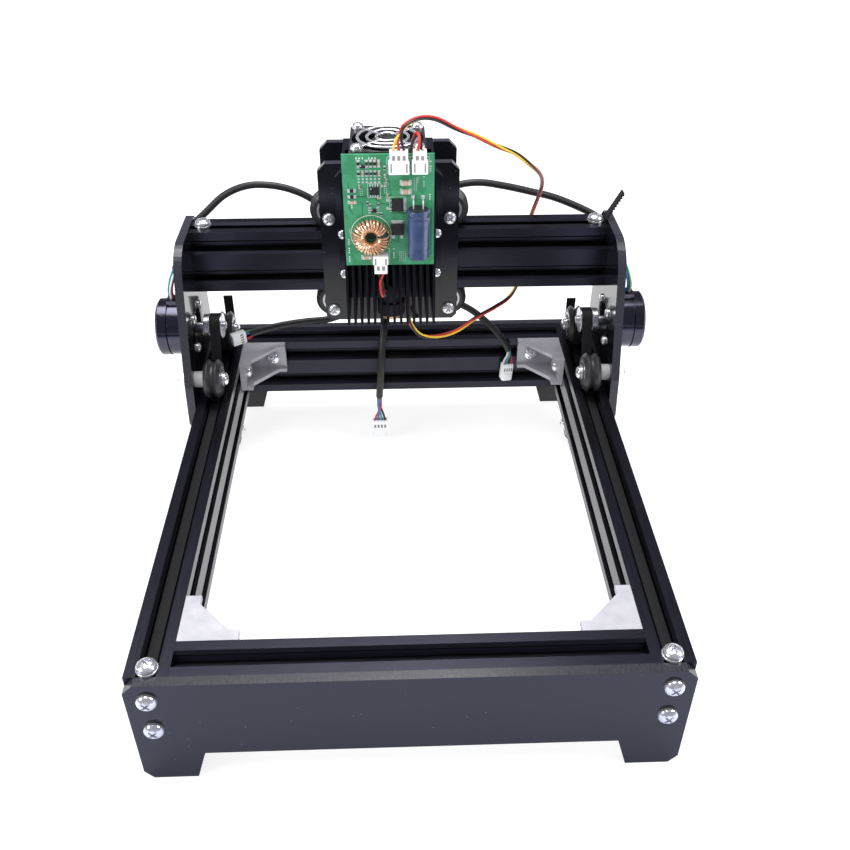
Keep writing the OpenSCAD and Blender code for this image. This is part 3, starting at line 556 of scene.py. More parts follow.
X_CABLE = [
    (-0.0065, 0.147, 0.167), (-0.0065, 0.147, 0.161), (-0.007, 0.147, 0.151),
    (-0.0075, 0.1465, 0.139), (-0.008, 0.1455, 0.126), (-0.008, 0.1445, 0.114),
    (-0.008, 0.1435, 0.1045), (-0.0085, 0.1415, 0.097), (-0.009, 0.137, 0.091),
    (-0.010, 0.130, 0.087), (-0.0115, 0.123, 0.081), (-0.013, 0.117, 0.072),
    (-0.014, 0.1125, 0.061), (-0.015, 0.1095, 0.048), (-0.016, 0.108, 0.035),
    (-0.016, 0.1075, 0.022), (-0.016, 0.1075, 0.017),
]
LASER_LEAD = [
    (-0.001, 0.041, 0.2317), (-0.001, 0.041, 0.237), (0.002, 0.043, 0.243),
    (0.009, 0.048, 0.245), (0.018, 0.055, 0.2425), (0.030, 0.065, 0.234),
    (0.043, 0.076, 0.225), (0.055, 0.087, 0.216), (0.066, 0.097, 0.208),
    (0.076, 0.107, 0.198), (0.084, 0.120, 0.187), (0.088, 0.134, 0.175),
    (0.088, 0.144, 0.162), (0.085, 0.150, 0.147), (0.082, 0.151, 0.132),
    (0.081, 0.149, 0.116), (0.079, 0.143, 0.105), (0.073, 0.134, 0.098),
    (0.061, 0.124, 0.0945), (0.048, 0.117, 0.0905), (0.035, 0.109, 0.086),
    (0.022, 0.102, 0.086), (0.011, 0.0955, 0.092), (0.005, 0.092, 0.103),
    (0.004, 0.0915, 0.115), (0.004, 0.0915, 0.126),
]
FAN_LEAD = [
    (0.005, 0.050, 0.222), (0.005, 0.0484, 0.222), (0.005, 0.0472, 0.2246),
    (0.0055, 0.047, 0.230), (0.0065, 0.0465, 0.235), (0.008, 0.0445, 0.2385),
    (0.0093, 0.042, 0.238), (0.0096, 0.041, 0.235), (0.0096, 0.041, 0.2317),
]
POWER_LOOP = [
    (-0.0115, 0.041, 0.164), (-0.0115, 0.041, 0.160), (-0.0113, 0.0404, 0.155),
    (-0.0108, 0.0406, 0.151), (-0.010, 0.0426, 0.1486), (-0.0092, 0.046, 0.148),
    (-0.009, 0.050, 0.148),
]
CABLE_D = mm(4.6)
CORE_R = mm(0.74)        # a wire inside a motor cable
CORE_REACH = mm(1.0)     # how far its middle lies from the cable's
BARE_AT_MOTOR = mm(18)   # the wires that show before the jacket starts
LEAD_WIRE_R = mm(0.66)
SHORT_WIRE_R = mm(0.72)


def part_of(line, start, end):
    """The stretch of a line from start to end metres along it; end counts from its end."""
    far = lengths(line)
    return [p for p, s in zip(line, far) if start <= s <= far[-1] - end]


def jacketed_cable(name, route, bare_start, bare_end, colors, end_pitch):
    """Black jacket over four coloured wires, which show for a stretch at each end."""
    line = smooth(route)
    piece = Piece(name, JACKET, *(WIRES[c] for c in colors))
    body = part_of(line, bare_start, bare_end)
    lip = [0.8 if i in (0, len(body) - 1) else 1 for i in range(len(body))]
    piece.tube(body, [CABLE_D / 2 * k for k in lip], 0, 12)
    for k, wire in enumerate(strands(line, 4, CORE_REACH, 2.2, 0.0, end_pitch)):
        for start, end in ((0, lengths(line)[-1] - bare_start - mm(3)),
                           (lengths(line)[-1] - bare_end - mm(3), 0)):
            bit = part_of(wire, start, end)
            if len(bit) > 3:
                piece.tube(bit, CORE_R, k + 1, 8)
    return piece, line


def plug_axes(route):
    """Where a cable ends, and the plug's axes there: across, deep and back up the cable."""
    end, before = Vector(route[-1]), Vector(route[-2])
    back = (before - end).normalized()
    tilt, turn = math.acos(back.z), math.atan2(back.y, back.x)
    turned = Matrix.Rotation(turn, 3, "Z") @ Matrix.Rotation(tilt, 3, "Y")
    return end, turned


def wire_plug(name, route, scale, body, node, width=mm(10)):
    """Four-way crimp housing: ribbed shell, with its latch slots and the wires' entry cavities drawn
    as flat grey patches of painted shade.
    """
    end, turned = plug_axes(route)
    piece = Piece(name, PLUG, HOLE_SHADE)
    w, d, h = width * scale, mm(5.5) * scale, mm(12) * scale
    piece.box((-w / 2, -d / 2, -h), (w / 2, d / 2, 0), 0, mm(0.35))
    piece.box((-w * 0.4, -d / 2 - mm(0.6) * scale, -h), (w * 0.4, -d / 2 + mm(0.1), -h * 0.58),
              0, mm(0.2))
    for k in range(4):
        x = (k - 1.5) * w * 0.23
        # Flat grey patches for a latch slot and a wire's entry cavity: painted shade in place of
        # holes.
        piece.box((x - w * 0.07, -d / 2 - mm(0.04), -h * 0.42), (x + w * 0.07, 0, -h * 0.2), 1)
        piece.box((x - w * 0.085, -d * 0.2, -h * 0.5), (x + w * 0.085, d * 0.2, mm(0.05)), 1)
        piece.box((x - w * 0.02, d / 2 - mm(0.1), -h * 0.95),
                  (x + w * 0.02, d / 2 + mm(0.25) * scale, -h * 0.1), 0, mm(0.1))
    bmesh.ops.transform(piece.bm, matrix=Matrix.Translation(end) @ turned.to_4x4(),
                        verts=piece.bm.verts)
    return piece.finish(body, [node], "plug_white")


def motor_cables():
    for name, route, bare, colors, scale, width, length in (
        ("left_motor_cable", LEFT_CABLE, mm(10), ("red", "black", "teal", "white"), 1.0,
         mm(7.4), 0.327),
        ("right_motor_cable", RIGHT_CABLE, mm(3), ("red", "black", "blue", "green"), 0.8,
         mm(10), 0.350),
    ):
        piece, line = jacketed_cable(name, route, BARE_AT_MOTOR, bare, colors, mm(2.1) * scale)
        cable = piece.finish("gantry", [name], "cable_jacket")
        plug = wire_plug(name.replace("motor_cable", "plug"), route, scale, "gantry",
                         "motor_cable_plugs", width)
        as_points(line)
    piece, line = jacketed_cable("x_motor_cable", X_CABLE, mm(2), mm(17),
                                 ("red", "blue", "teal", "black"), mm(2.1))
    cable = piece.finish("carriage", ["x_motor_cable"], "cable_jacket")
    plug = wire_plug("x_plug", X_CABLE, 1.0, "carriage", "x_cable_plug")
    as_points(line)


def laser_lead():
    """Three twisted wires from the board, round the carriage and up into the laser."""
    line = smooth(LASER_LEAD)
    colors = ("yellow", "red", "black")
    piece = Piece("laser_lead", *(WIRES[c] for c in colors))
    for k, wire in enumerate(strands(line, 3, mm(0.78), 3.4, mm(2.5))):
        piece.tube(wire, LEAD_WIRE_R, k, 8)
    lead = piece.finish(None, ["laser_lead"], "wire_colours")
    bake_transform(lead)


def board_leads():
    """The short wires that both of their ends hold: the fan's pair and the power loop."""
    for name, route, colors in (
        ("fan_lead", FAN_LEAD, ("red", "black")), ("power_loop", POWER_LOOP, ("black", "red")),
    ):
        piece = Piece(name, *(WIRES[c] for c in colors))
        line = smooth(route, mm(0.6))
        first, last = (0.0, mm(2.5)) if name == "fan_lead" else (mm(2.5), 0.0)
        turns = 0.5 if name == "fan_lead" else 0.0
        for k, wire in enumerate(strands(line, 2, SHORT_WIRE_R, turns, first, last, mm(7))):
            piece.tube(wire, SHORT_WIRE_R, k, 8)
        piece.finish("carriage", ["board_leads"], "wire_colours")


motor_cables()
laser_lead()
board_leads()


# ---------- CAD nodes: materials ----------

def dress(node, material):
    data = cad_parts[node].data
    data.materials.clear()
    data.materials.append(material)


def paint(node, materials, pick):
    """Gives each face of a node one of the materials: pick gets its middle, in mm, and normal."""
    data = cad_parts[node].data
    data.materials.clear()
    for material in materials:
        data.materials.append(material)
    for face in data.polygons:
        face.material_index = pick(face.center / MM, face.normal)


def edge_along(axis):
    """0 on a plate's two faces, 1 on its cut edges and in its holes."""
    return lambda middle, normal: 0 if abs(normal.dot(axis)) > 0.7 else 1


def wheel_part(axle, axis):
    """0 for the tyre, 1 for the bearings' rings, 2 for their shields."""
    def pick(middle, normal):
        away = middle - axle / MM
        radius = (away - axis * away.dot(axis)).length
        if radius > 8.02 or radius > 7.9 and abs(normal.dot(axis)) < 0.5:
            return 0
        return 2 if 3.95 < radius < 6.7 else 1
    return pick


def dress_frame():
    for node in ("left_rail", "right_rail"):
        dress(node, EXTRUSION_Y)
    for node in ("front_crossbar", "rear_crossbar", "gantry_beam"):
        dress(node, EXTRUSION_X)
    for node in ("front_plate", "rear_plate", "carriage_front_plate", "carriage_rear_plate",
                 "laser_mount_plate"):
        paint(node, (ACRYLIC, ACRYLIC_EDGE), edge_along(Y))
    for node in ("left_side_plate", "right_side_plate"):
        paint(node, (ACRYLIC, ACRYLIC_EDGE), edge_along(X))
    dress("corner_brackets", DIE_CAST)
    for node in ("frame_screws", "rail_wheel_axles", "carriage_axles", "carriage_screws",
                 "fan_guard"):
        dress(node, CHROME)
    rail_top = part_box("left_rail")[1].z / MM
    beam_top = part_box("gantry_beam")[1].z / MM
    paint("y_belt_clamps", (BRASS, CHROME), lambda m, n: int(m.z > rail_top + 0.01))
    paint("gantry_screws", (BRASS, CHROME),
          lambda m, n: int(not beam_top - 6 < m.z <= beam_top + 0.01 or abs(m.x) > 128))
    for node in ("rail_wheel_spacers", "carriage_spacers"):
        low = centre(node).z / MM
        paint(node, (SPACER, CHROME), lambda m, n, low=low: int(m.z < low))
    for node in ("left_y_motor", "right_y_motor", "x_motor"):
        dress(node, MOTOR)
    dress("laser_heatsink", FINS)
    lens = centre("laser_lens_barrel") / MM
    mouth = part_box("laser_lens_barrel")[0].z / MM

    def lens_part(middle, normal):
        if (middle - lens).xy.length < 3.46 and abs(normal.z) > 0.9 and middle.z < mouth + 9:
            return 2
        return int(middle.z < mouth + 3.05)
    paint("laser_lens_barrel", (FINS, BRASS, GLASS), lens_part)
    dress("fan_housing", FAN)
    dress("driver_board", BOARD)
    dress("board_pads", FOAM)
    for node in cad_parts:
        if node.endswith("_wheel"):
            paint(node, (WHEEL, STEEL, SHIELD), wheel_part(centre(node), X))
        elif node.startswith("carriage_wheel"):
            paint(node, (WHEEL, STEEL, SHIELD), wheel_part(centre(node), Y))


# ---------- belts and pulleys ----------

BELT_W = mm(6)
BELT_HALF = mm(0.75)
TOOTH_STEP = mm(0.5)
TOOTH = (0.0, 1.0, 1.0, 0.0)  # height profile along one 2 mm pitch


def even(line, step):
    """The line again, in equal steps."""
    far = lengths(line)
    out, i = [], 0
    for k in range(int(far[-1] / step) + 1):
        while far[i + 1] < k * step:
            i += 1
        out.append(line[i].lerp(line[i + 1], (k * step - far[i]) / (far[i + 1] - far[i])))
    return out


def soften(line, rounds):
    """Rounds a line's corners; its ends stay."""
    for _ in range(rounds):
        line = [line[0], *((a + 2 * b + c) / 4 for a, b, c in zip(line, line[1:], line[2:])),
                line[-1]]
    return line


def toothed_belt(piece, corners, across, rounds=3):
    """A belt on its side's centre line, with teeth on the right of its direction of travel."""
    line = soften(even([Vector(c) for c in corners], TOOTH_STEP), rounds)
    rings = []
    for i, point in enumerate(line):
        ahead = (line[min(i + 1, len(line) - 1)] - line[max(i - 1, 0)]).normalized()
        right = ahead.cross(across)
        tooth = point + right * BELT_HALF * (0.15 + 0.85 * TOOTH[i % len(TOOTH)])
        back = point - right * BELT_HALF
        half = across * BELT_W / 2
        rings.append([back - half, tooth - half, tooth + half, back + half])
    piece.skin(rings)


def arc(middle, radius, start, end, count=24):
    return [middle + Vector((math.cos(a), math.sin(a))) * radius
            for a in (math.radians(start + (end - start) * i / count) for i in range(count + 1))]


def belt_loop(dx, dz):
    """Half-way round: under the idlers at (+-dx, 0) and over the pulley at (0, dz)."""
    wheel, pulley = mm(12.2 + 0.3 + 0.75), mm(6.37 + 0.75)
    lean = math.degrees(math.atan2(dz, dx) + math.asin((wheel + pulley) / math.hypot(dx, dz)))
    right = arc(Vector((0, dz)), pulley, 90, 90 - lean)
    right += arc(Vector((dx, 0)), wheel, 270 - lean, 270)
    right.append(Vector((dx + mm(4), -wheel)))
    return [Vector((-p.x, p.y)) for p in right[:0:-1]] + right


def belts():
    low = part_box("y_belts")[0]
    rail_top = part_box("left_rail")[1].z
    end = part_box("left_rail")[1].y - mm(0.6) - BELT_HALF
    piece = Piece("y_belts", BELT)
    for node, tail in (("left_rail", mm(26)), ("right_rail", mm(20))):
        x = centre(node).x
        corners = [(low.y, low.z + BELT_HALF), (end - mm(1.2), low.z + BELT_HALF),
                   (end, low.z + mm(2)), (end, rail_top), (end + mm(0.4), rail_top + mm(8)),
                   (end + mm(0.2), rail_top + tail)]
        toothed_belt(piece, [(x, y, z) for y, z in corners], X)
    piece.finish("frame", ["y_belts"], "belt_rubber")

    low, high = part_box("x_belt")
    beam_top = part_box("gantry_beam")[1].z
    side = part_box("gantry_beam")[1].x
    corners = [(low.x, low.z + BELT_HALF), (side - mm(3.2), low.z + BELT_HALF),
               (side - mm(1.9), low.z + mm(2.2)), (side - mm(1.4), beam_top - mm(1)),
               (side - mm(1), beam_top + mm(2)), (side + mm(3.4), beam_top + mm(10)),
               (side + mm(8.2), beam_top + mm(19))]
    piece = Piece("x_belt", BELT)
    toothed_belt(piece, [(x, (low.y + high.y) / 2, z) for x, z in corners], -Y)
    piece.finish("gantry", ["x_belt"], "belt_rubber")

    piece = Piece("y_belt_loops", BELT)
    for side in ("left", "right"):
        front, pulley = centre(side + "_front_wheel"), centre(side + "_y_pulley")
        rear = centre(side + "_rear_wheel")
        loop = belt_loop((rear.y - front.y) / 2, pulley.z - front.z)
        toothed_belt(piece, [(front.x, pulley.y + u, front.z + v) for u, v in loop], X, 1)
    piece.finish("gantry", ["y_belt_loops"], "belt_rubber")

    left, right = centre("carriage_wheel_1"), centre("carriage_wheel_2")
    pulley = centre("x_pulley")
    loop = belt_loop((right.x - left.x) / 2, pulley.z - left.z)
    piece = Piece("x_belt_loop", BELT)
    toothed_belt(piece, [((left.x + right.x) / 2 + u, left.y, left.z + v) for u, v in loop],
                 -Y, 1)
    piece.finish("carriage", ["x_belt_loop"], "belt_rubber")


TEETH = 20


def toothed_pulley(node, body, end, axis, near, hub):
    """Rim with cut teeth between two flanges, hub with a grub screw, and the motor's shaft."""
    piece = Piece(node, PULLEY, STEEL, SHIELD)
    reach = (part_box(node)[1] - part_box(node)[0]).dot(Vector(map(abs, axis)))
    side = axis.orthogonal().normalized()
    up = axis.cross(side)
    outline = []
    for k in range(TEETH):
        for share, r in ((0.0, 6.15), (0.45, 6.15), (0.58, 5.5), (0.87, 5.5)):
            a = math.tau * (k + share) / TEETH
            outline.append(end + axis * mm(near + 0.5)
                           + (side * math.cos(a) + up * math.sin(a)) * mm(r))
    piece.prism(outline, axis * mm(7.4), 0)
    for at in (near, near + 7.4):
        piece.turned([(0, mm(at)), (mm(7.7), mm(at)), (mm(8), mm(at + 0.3)),
                      (mm(8), mm(at + 0.7)), (mm(7.7), mm(at + 1)), (0, mm(at + 1))], end, axis)
    start, stop = near + 8.4, near + 8.4 + hub
    piece.turned([(0, mm(start)), (mm(7.5), mm(start)), (mm(7.5), mm(stop - 0.4)),
                  (mm(7.1), mm(stop)), (0, mm(stop))], end, axis)
    piece.turned([(0, 0), (mm(2.2), 0), (mm(2.5), mm(0.3)), (mm(2.5), reach), (0, reach)],
                 end, axis, 1)
    grub = end + axis * mm((start + stop) / 2)
    piece.turned([(0, mm(6.8)), (mm(0.98), mm(6.8)), (mm(0.98), mm(7.55)), (mm(0.6), mm(7.55)),
                  (mm(0.6), mm(7.0)), (0, mm(7.0))], grub, up, 2, 24)
    piece.finish(body, [node], "pulley_aluminium")


def pulleys():
    low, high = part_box("right_y_pulley")
    place = centre("right_y_pulley")
    toothed_pulley("right_y_pulley", "right_y_pulley", Vector((low.x, place.y, place.z)), X, 2, 3)
    low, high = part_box("left_y_pulley")
    toothed_pulley("left_y_pulley", "left_y_pulley", Vector((high.x, place.y, place.z)), -X, 2, 3)
    low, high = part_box("x_pulley")
    place = centre("x_pulley")
    toothed_pulley("x_pulley", "x_pulley", Vector((place.x, low.y, place.z)), Y, 1.5, 2.6)


# ---------- fan rotor ----------

def fan_rotor():
    """Hub with a dished label recess, and seven twisted, swept blades."""
    low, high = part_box("fan_rotor")
    at = Vector(((low.x + high.x) / 2, (low.y + high.y) / 2, low.z))
    piece = Piece("fan_rotor", FAN)
    piece.turned([(0, 0), (mm(1.9), 0), (mm(1.9), mm(1.7)), (mm(8.7), mm(1.7)), (mm(9), mm(2)),
                  (mm(9), mm(9.2)), (mm(8.5), mm(9.7)), (mm(7.4), mm(9.7)), (mm(7.2), mm(9.45)),
                  (0, mm(9.45))], at, Z)
    steps, chord = 10, 7
    for k in range(7):
        rings = []
        for i in range(steps + 1):
            t = i / steps
            r = mm(8.7 + 9.1 * t)
            a = math.tau * k / 7 + 0.32 * t
            tilt = math.radians(52 - 16 * t)
            out = Vector((math.cos(a), math.sin(a), 0))
            along = Vector((-math.sin(a), math.cos(a), 0))
            ring = []
            for sign in (1, -1):
                for j in range(chord)[::sign]:
                    s = j / (chord - 1) - 0.5
                    camber = mm(0.9) * (0.25 - s * s) + sign * mm(0.35) * (0.27 - s * s) * 3
                    width = mm(8.0 + 1.6 * t)
                    ring.append(at + out * r + Z * mm(5.6)
                                + along * (s * width * math.cos(tilt) - camber * math.sin(tilt))
                                + Z * (s * width * math.sin(tilt) + camber * math.cos(tilt))
                                * 0.88)
            rings.append(ring)
        piece.skin(rings)
    piece.finish("fan_rotor", ["fan_rotor"], "fan_plastic")


# ---------- driver board ----------

BOARD_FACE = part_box("driver_board")[0].y / MM
COIL = Vector((-16.3, 40.0, 185))


def flat(piece, x, z, w, h, thick, material, lift=0.0, bevel=0.0):
    """A body lying on the board's face, centred at (x, z), in millimetres."""
    piece.box(mm(x - w / 2, BOARD_FACE - lift - thick, z - h / 2),
              mm(x + w / 2, BOARD_FACE - lift, z + h / 2), material, mm(bevel))


def chip(piece, x, z, w, h, thick, legs, side, pad=0.7):
    """Moulded body with gull-wing legs on two sides: side is "x" or "z"."""
    flat(piece, x, z, w, h, thick - 0.25, 0, 0.2, 0.18)
    flat(piece, x - w * 0.32, z + h * 0.32, 0.5, 0.5, 0.02, 2, thick - 0.05)
    for sign in (-1, 1):
        for k in range(legs):
            step = (k - (legs - 1) / 2) * 1.27
            if side == "x":
                px, pz, lw, lh = x + sign * (w / 2 + 0.45), z + step, 1.1, 0.45
                sx, sz = x + sign * (w / 2 + 0.05), pz
            else:
                px, pz, lw, lh = x + step, z + sign * (h / 2 + 0.45), 0.45, 1.1
                sx, sz = px, z + sign * (h / 2 + 0.05)
            flat(piece, px, pz, lw, lh, 0.16, 1, 0.05)
            flat(piece, sx, sz, 0.45, 0.45, thick * 0.5, 1, 0.1)
            flat(piece, px + (sign * 0.2 if side == "x" else 0),
                 pz + (sign * 0.2 if side == "z" else 0), lw + pad * 0.4, lh + 0.25, 0.07, 1)


def power_switch(piece, x, z, turn):
    """Power transistor: body, wide metal tab at one end and two legs at the other."""
    def put(u, v, w, h, thick, material, lift=0.0, bevel=0.0):
        c, s = math.cos(turn), math.sin(turn)
        size = (w, h) if abs(c) > 0.5 else (h, w)
        flat(piece, x + u * c - v * s, z + u * s + v * c, *size, thick, material, lift, bevel)

    put(0, 0, 6.6, 6.1, 2.1, 0, 0.15, 0.25)
    put(0, 3.5, 5.4, 1.3, 0.5, 1, 0.1, 0.08)
    put(0, 3.4, 6.4, 2.4, 0.08, 1)
    for u in (-2.28, 2.28):
        put(u, -3.6, 0.8, 1.6, 0.45, 1, 0.25, 0.08)
        put(u, -4.7, 0.8, 1.4, 0.35, 1, 0.02, 0.08)
        put(u, -4.7, 1.5, 2.1, 0.08, 1)
    put(0, -3.2, 0.8, 0.6, 0.45, 1, 0.25, 0.05)


def two_ended(piece, x, z, length, width, thick, upright, material):
    """Resistor or ceramic capacitor: body with tinned ends on two pads."""
    w, h = (width, length) if upright else (length, width)
    flat(piece, x, z, w * (1 if upright else 0.6), h * (0.6 if upright else 1), thick, material,
         0.04, 0.05)
    for sign in (-1, 1):
        dx, dz = (0, sign * length * 0.4) if upright else (sign * length * 0.4, 0)
        ew, eh = (width, length * 0.24) if upright else (length * 0.24, width)
        flat(piece, x + dx, z + dz, ew + 0.04, eh, thick + 0.04, 1, 0.02, 0.06)
        flat(piece, x + dx * 1.25, z + dz * 1.25, ew + 0.35, eh + 0.35, 0.07, 1)


def board_parts():
    """Everything soldered on the board, besides its coil, capacitor and connectors."""
    piece = Piece("board_parts", CHIP, TIN, SILK, CERAMIC)
    chip(piece, -14, 209.5, 5.0, 4.2, 1.6, 4, "z")
    chip(piece, -14.5, 198.6, 3.0, 1.7, 1.1, 3, "x", 0.5)
    chip(piece, -19.6, 222.4, 2.9, 1.6, 1.1, 2, "x", 0.5)
    power_switch(piece, -2, 201.8, -math.pi / 2)
    power_switch(piece, -2.2, 188.2, 0)
    for i in range(6):
        x = -21.7 + i * 2.1
        if i != 1:
            two_ended(piece, x, 223.8, 3.1, 1.25, 0.5, True, 3 if i == 5 else 0)
        two_ended(piece, x, 218.6, 2.4, 1.1, 0.5, True, 3 if i in (1, 5) else 0)
        for dz in (215.6, 213.9):
            flat(piece, x, dz, 1.1, 0.9, 0.07, 1)
    for z in (213.5, 208.8):
        two_ended(piece, 2.4, z, 4.6, 2.5, 1.35, False, 3)
    for z in (209.4, 206.2, 203.1):
        two_ended(piece, -25.6, z, 3.3, 1.6, 0.55, False, 3 if z < 204 else 0)
    two_ended(piece, -19.2, 171.8, 4.2, 2.1, 1.1, False, 3)
    two_ended(piece, -8.3, 221.4, 1.6, 0.8, 0.5, True, 0)
    for x, z in ((-7.2, 206.5), (-9.1, 211.8), (-11.3, 205.3), (-17.6, 202.6), (-16.2, 201.2),
                 (-11.8, 201.7), (-10.6, 196.4), (-8.2, 217.1), (-7.6, 214.4), (-21.6, 211.6)):
        two_ended(piece, x, z, 1.5, 0.8, 0.45, (x * 10) % 2 < 1, 3 if z > 205 else 0)
    piece.finish("carriage", ["board_chips"], "chip_black")


def ring_marks(piece, middle, radius, start, end, width, material, lift):
    """A printed arc on the board's face."""
    count = max(3, round(abs(end - start) / 6))
    rings = []
    for i in range(count + 1):
        a = math.radians(start + (end - start) * i / count)
        out = Vector((math.cos(a), 0, math.sin(a)))
        rings.append([mm(*(middle + out * r - Y * d))
                      for r, d in ((radius, lift), (radius + width, lift),
                                   (radius + width, lift + 0.04), (radius, lift + 0.04))])
    piece.skin(rings, material, closed=abs(end - start) >= 360)


def track(piece, material, width, *corners):
    """A copper track under the mask, through the corners (x, z)."""
    for (x0, z0), (x1, z1) in zip(corners, corners[1:]):
        a, b = Vector((x0, z0)), Vector((x1, z1))
        along = (b - a).normalized() * width / 2
        wide = Vector((-along.y, along.x))
        outline = [mm(p.x, BOARD_FACE, p.y) for p in
                   (a - along - wide, b + along - wide, b + along + wide, a - along + wide)]
        piece.prism(outline, -Y * mm(0.03), material)


def via_block(piece, x, z, columns, rows, step=1.05):
    for i in range(columns):
        for j in range(rows):
            piece.turned([(0, 0), (mm(0.26), 0), (mm(0.26), mm(0.05)), (mm(0.12), mm(0.05)),
                          (mm(0.12), mm(0.02)), (0, mm(0.02))],
                         mm(x + i * step, BOARD_FACE, z + j * step), -Y, 1, 8)


def dashes(piece, x, z, count, upright, size=(0.9, 0.5), step=1.25):
    """A row of short printed marks where a board carries its legends."""
    for i in range(count):
        if i % 4 == 3:
            continue
        w, h = size if i % 2 else (size[0] * 0.6, size[1] * 1.5)
        dx, dz = (0, i * step) if upright else (i * step, 0)
        flat(piece, x + dx, z + dz, *((h, w) if upright else (w, h)), 0.04, 0)


def board_print():
    """Silkscreen outlines, legends, tracks and via fields."""
    piece = Piece("board_print", SILK, TIN, TRACE)
    face = Vector((COIL.x, BOARD_FACE, COIL.z))
    ring_marks(piece, face, 10.6, 0, 360, 0.3, 0, 0.0)
    for x, z, w, h in ((-1, 222.9, 12, 8.6), (9.6, 222.9, 9.4, 8.6), (-2, 201.8, 8.2, 8.0),
                       (-14, 209.5, 6.6, 7.6), (-11.5, 172.6, 9.6, 8.4)):
        for sign in (-1, 1):
            flat(piece, x + sign * w / 2, z, 0.2, h, 0.04, 0)
            flat(piece, x, z + sign * h / 2, w, 0.2, 0.04, 0)
    for row in ((-28.3, 169.5, 12, True), (15.2, 219.6, 5, True), (11.8, 211.4, 5, True, (0.7, 0.4)),
                (8.6, 213.6, 3, True, (0.7, 0.4)), (-22.6, 226.6, 7, False, (0.8, 0.7), 1.6),
                (-25.8, 200.1, 2, True), (-4.4, 171.4, 5, True, (0.8, 0.5)), (14.9, 204.4, 3, True)):
        dashes(piece, *row)
    for field in ((-21.2, 206.9, 2, 4), (-8.6, 208.2, 2, 6), (6.9, 209.2, 2, 7),
                  (-1.2, 169.3, 4, 6), (-27.5, 186.0, 2, 3)):
        via_block(piece, *field)
    for width, *corners in (
        (0.5, (-23.6, 206.2), (-15.8, 206.2), (-13.2, 205.2), (-11.2, 202.6), (-6.4, 201.6)),
        (0.35, (-17.5, 213.9), (-17.5, 211.4), (-16.6, 210.6)),
        (0.35, (-9.0, 216), (-5.9, 214.4), (-5.2, 206.6), (-9.9, 206.6)),
        (0.35, (-20.4, 202.6), (-20.4, 196.2)),
        (0.35, (1.6, 217.2), (1.6, 215.6)),
        (0.35, (2.4, 206.4), (7.6, 206.4), (7.6, 203.4)),
        (0.4, (-5.2, 196.9), (2.4, 196.9), (2.4, 199.5)),
        (0.4, (-5.3, 181.8), (-1.8, 180.3), (-1.8, 183.4)),
        (0.45, (3.2, 173.2), (15.6, 173.2), (15.6, 199.0)),
        (0.35, (-27.2, 213.5), (-27.2, 199.5), (-25.5, 196.9)),
    ):
        track(piece, 2, width, *corners)
    piece.finish("carriage", (), "board_green")


def inductor():
    """Ferrite ring, wound with a copper strand that goes over, through and back again, with a dark
    disc on the board in the ring's hole as painted shade.
    """
    low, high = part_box("board_inductor")
    middle = (low + high) / 2
    section = (high.y - low.y) / 2
    ring = (high.x - low.x) / 2 - section
    wire = mm(0.5)
    piece = Piece("inductor", CORE_AND_HOLE_SHADE, COPPER, TIN)
    core = [[middle + (X * math.cos(a) + Z * math.sin(a))
             * (ring + (section - 2 * wire) * math.cos(b)) + Y * (section - 2 * wire) * math.sin(b)
             for b in (math.tau * j / 16 for j in range(16))]
            for a in (math.tau * i / 64 for i in range(64))]
    piece.skin(core, 0, closed=True)
    # A thin dark disc on the board's face, filling the ring's hole: painted shade, in the core's
    # colour.
    base = Vector((middle.x, mm(BOARD_FACE), middle.z))
    piece.turned([(0, 0), (ring - section, 0), (ring - section, mm(0.15)), (0, mm(0.15))],
                 base, -Y, 0, 40)
    turns, steps = 29, 14
    for layer, gap in ((0, 0.0), (1, 0.5)):
        line = []
        reach = section - wire * (1.0 if layer else 1.35)
        for i in range(turns * steps + 1):
            b = math.tau * i / steps + 2.2 * layer
            swing = 0.02 * math.sin(1.7 * i / steps + layer)
            a = math.tau * (i / steps + gap) / (turns + 1) + swing + 0.3
            out = X * math.cos(a) + Z * math.sin(a)
            line.append(middle + out * (ring + reach * math.cos(b)) + Y * reach * math.sin(b))
        piece.tube(line, wire, 1, 6)
    for x in (-3.2, 3.4):
        foot = middle + mm(x, 0, -section / MM * 2 - 2.2)
        piece.tube([foot - Y * mm(1.5) + Z * mm(1.6), foot, foot + Y * mm(3.4)], wire, 2, 8)
    piece.finish("carriage", ["board_inductor"], "coil_copper")


def capacitor():
    """Can in a shrink sleeve: rolled groove, metal top, bared base and two leads."""
    low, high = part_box("board_capacitor")
    at = Vector(((low.x + high.x) / 2, (low.y + high.y) / 2, low.z))
    piece = Piece("capacitor", SLEEVE, TIN, CHIP)
    piece.turned([(mm(4.9), mm(0.18)), (mm(5.3), mm(0.02)), (mm(5.65), mm(0.2)),
                  (mm(5.8), mm(0.7)), (mm(5.8), mm(21.6)), (mm(5.45), mm(22.5)),
                  (mm(5.25), mm(23.2)), (mm(5.45), mm(23.9)), (mm(5.8), mm(24.8)),
                  (mm(5.8), mm(26.3)), (mm(5.5), mm(26.8)), (mm(4.8), mm(26.9))], at, Z, 0, 64)
    piece.turned([(0, mm(0.3)), (mm(5.0), mm(0.3)), (mm(5.0), mm(0.1)), (0, mm(0.1))],
                 at, Z, 1, 48)
    piece.turned([(0, mm(26.2)), (mm(4.9), mm(26.2)), (mm(4.9), mm(27.1)), (0, mm(27.1))],
                 at, Z, 2, 48)
    for x in (-2.5, 2.5):
        lead = [at + mm(x, 0, 27), at + mm(x, 0, 29.6), at + mm(x, 0.6, 30.8),
                at + mm(x, 2.4, 31.1), at + mm(x, 5.6, 31.1)]
        piece.tube(smooth(lead, mm(0.4)), mm(0.35), 1, 10)
        flat(piece, at.x / MM + x, at.z / MM + 31.1, 2.0, 2.0, 0.1, 1, 0, 0.03)
    piece.finish("carriage", ["board_capacitor"], "capacitor_blue")


HEADER_H = 6
LOW_HEADER_H = 4.9
HOUSING_H = 5.8


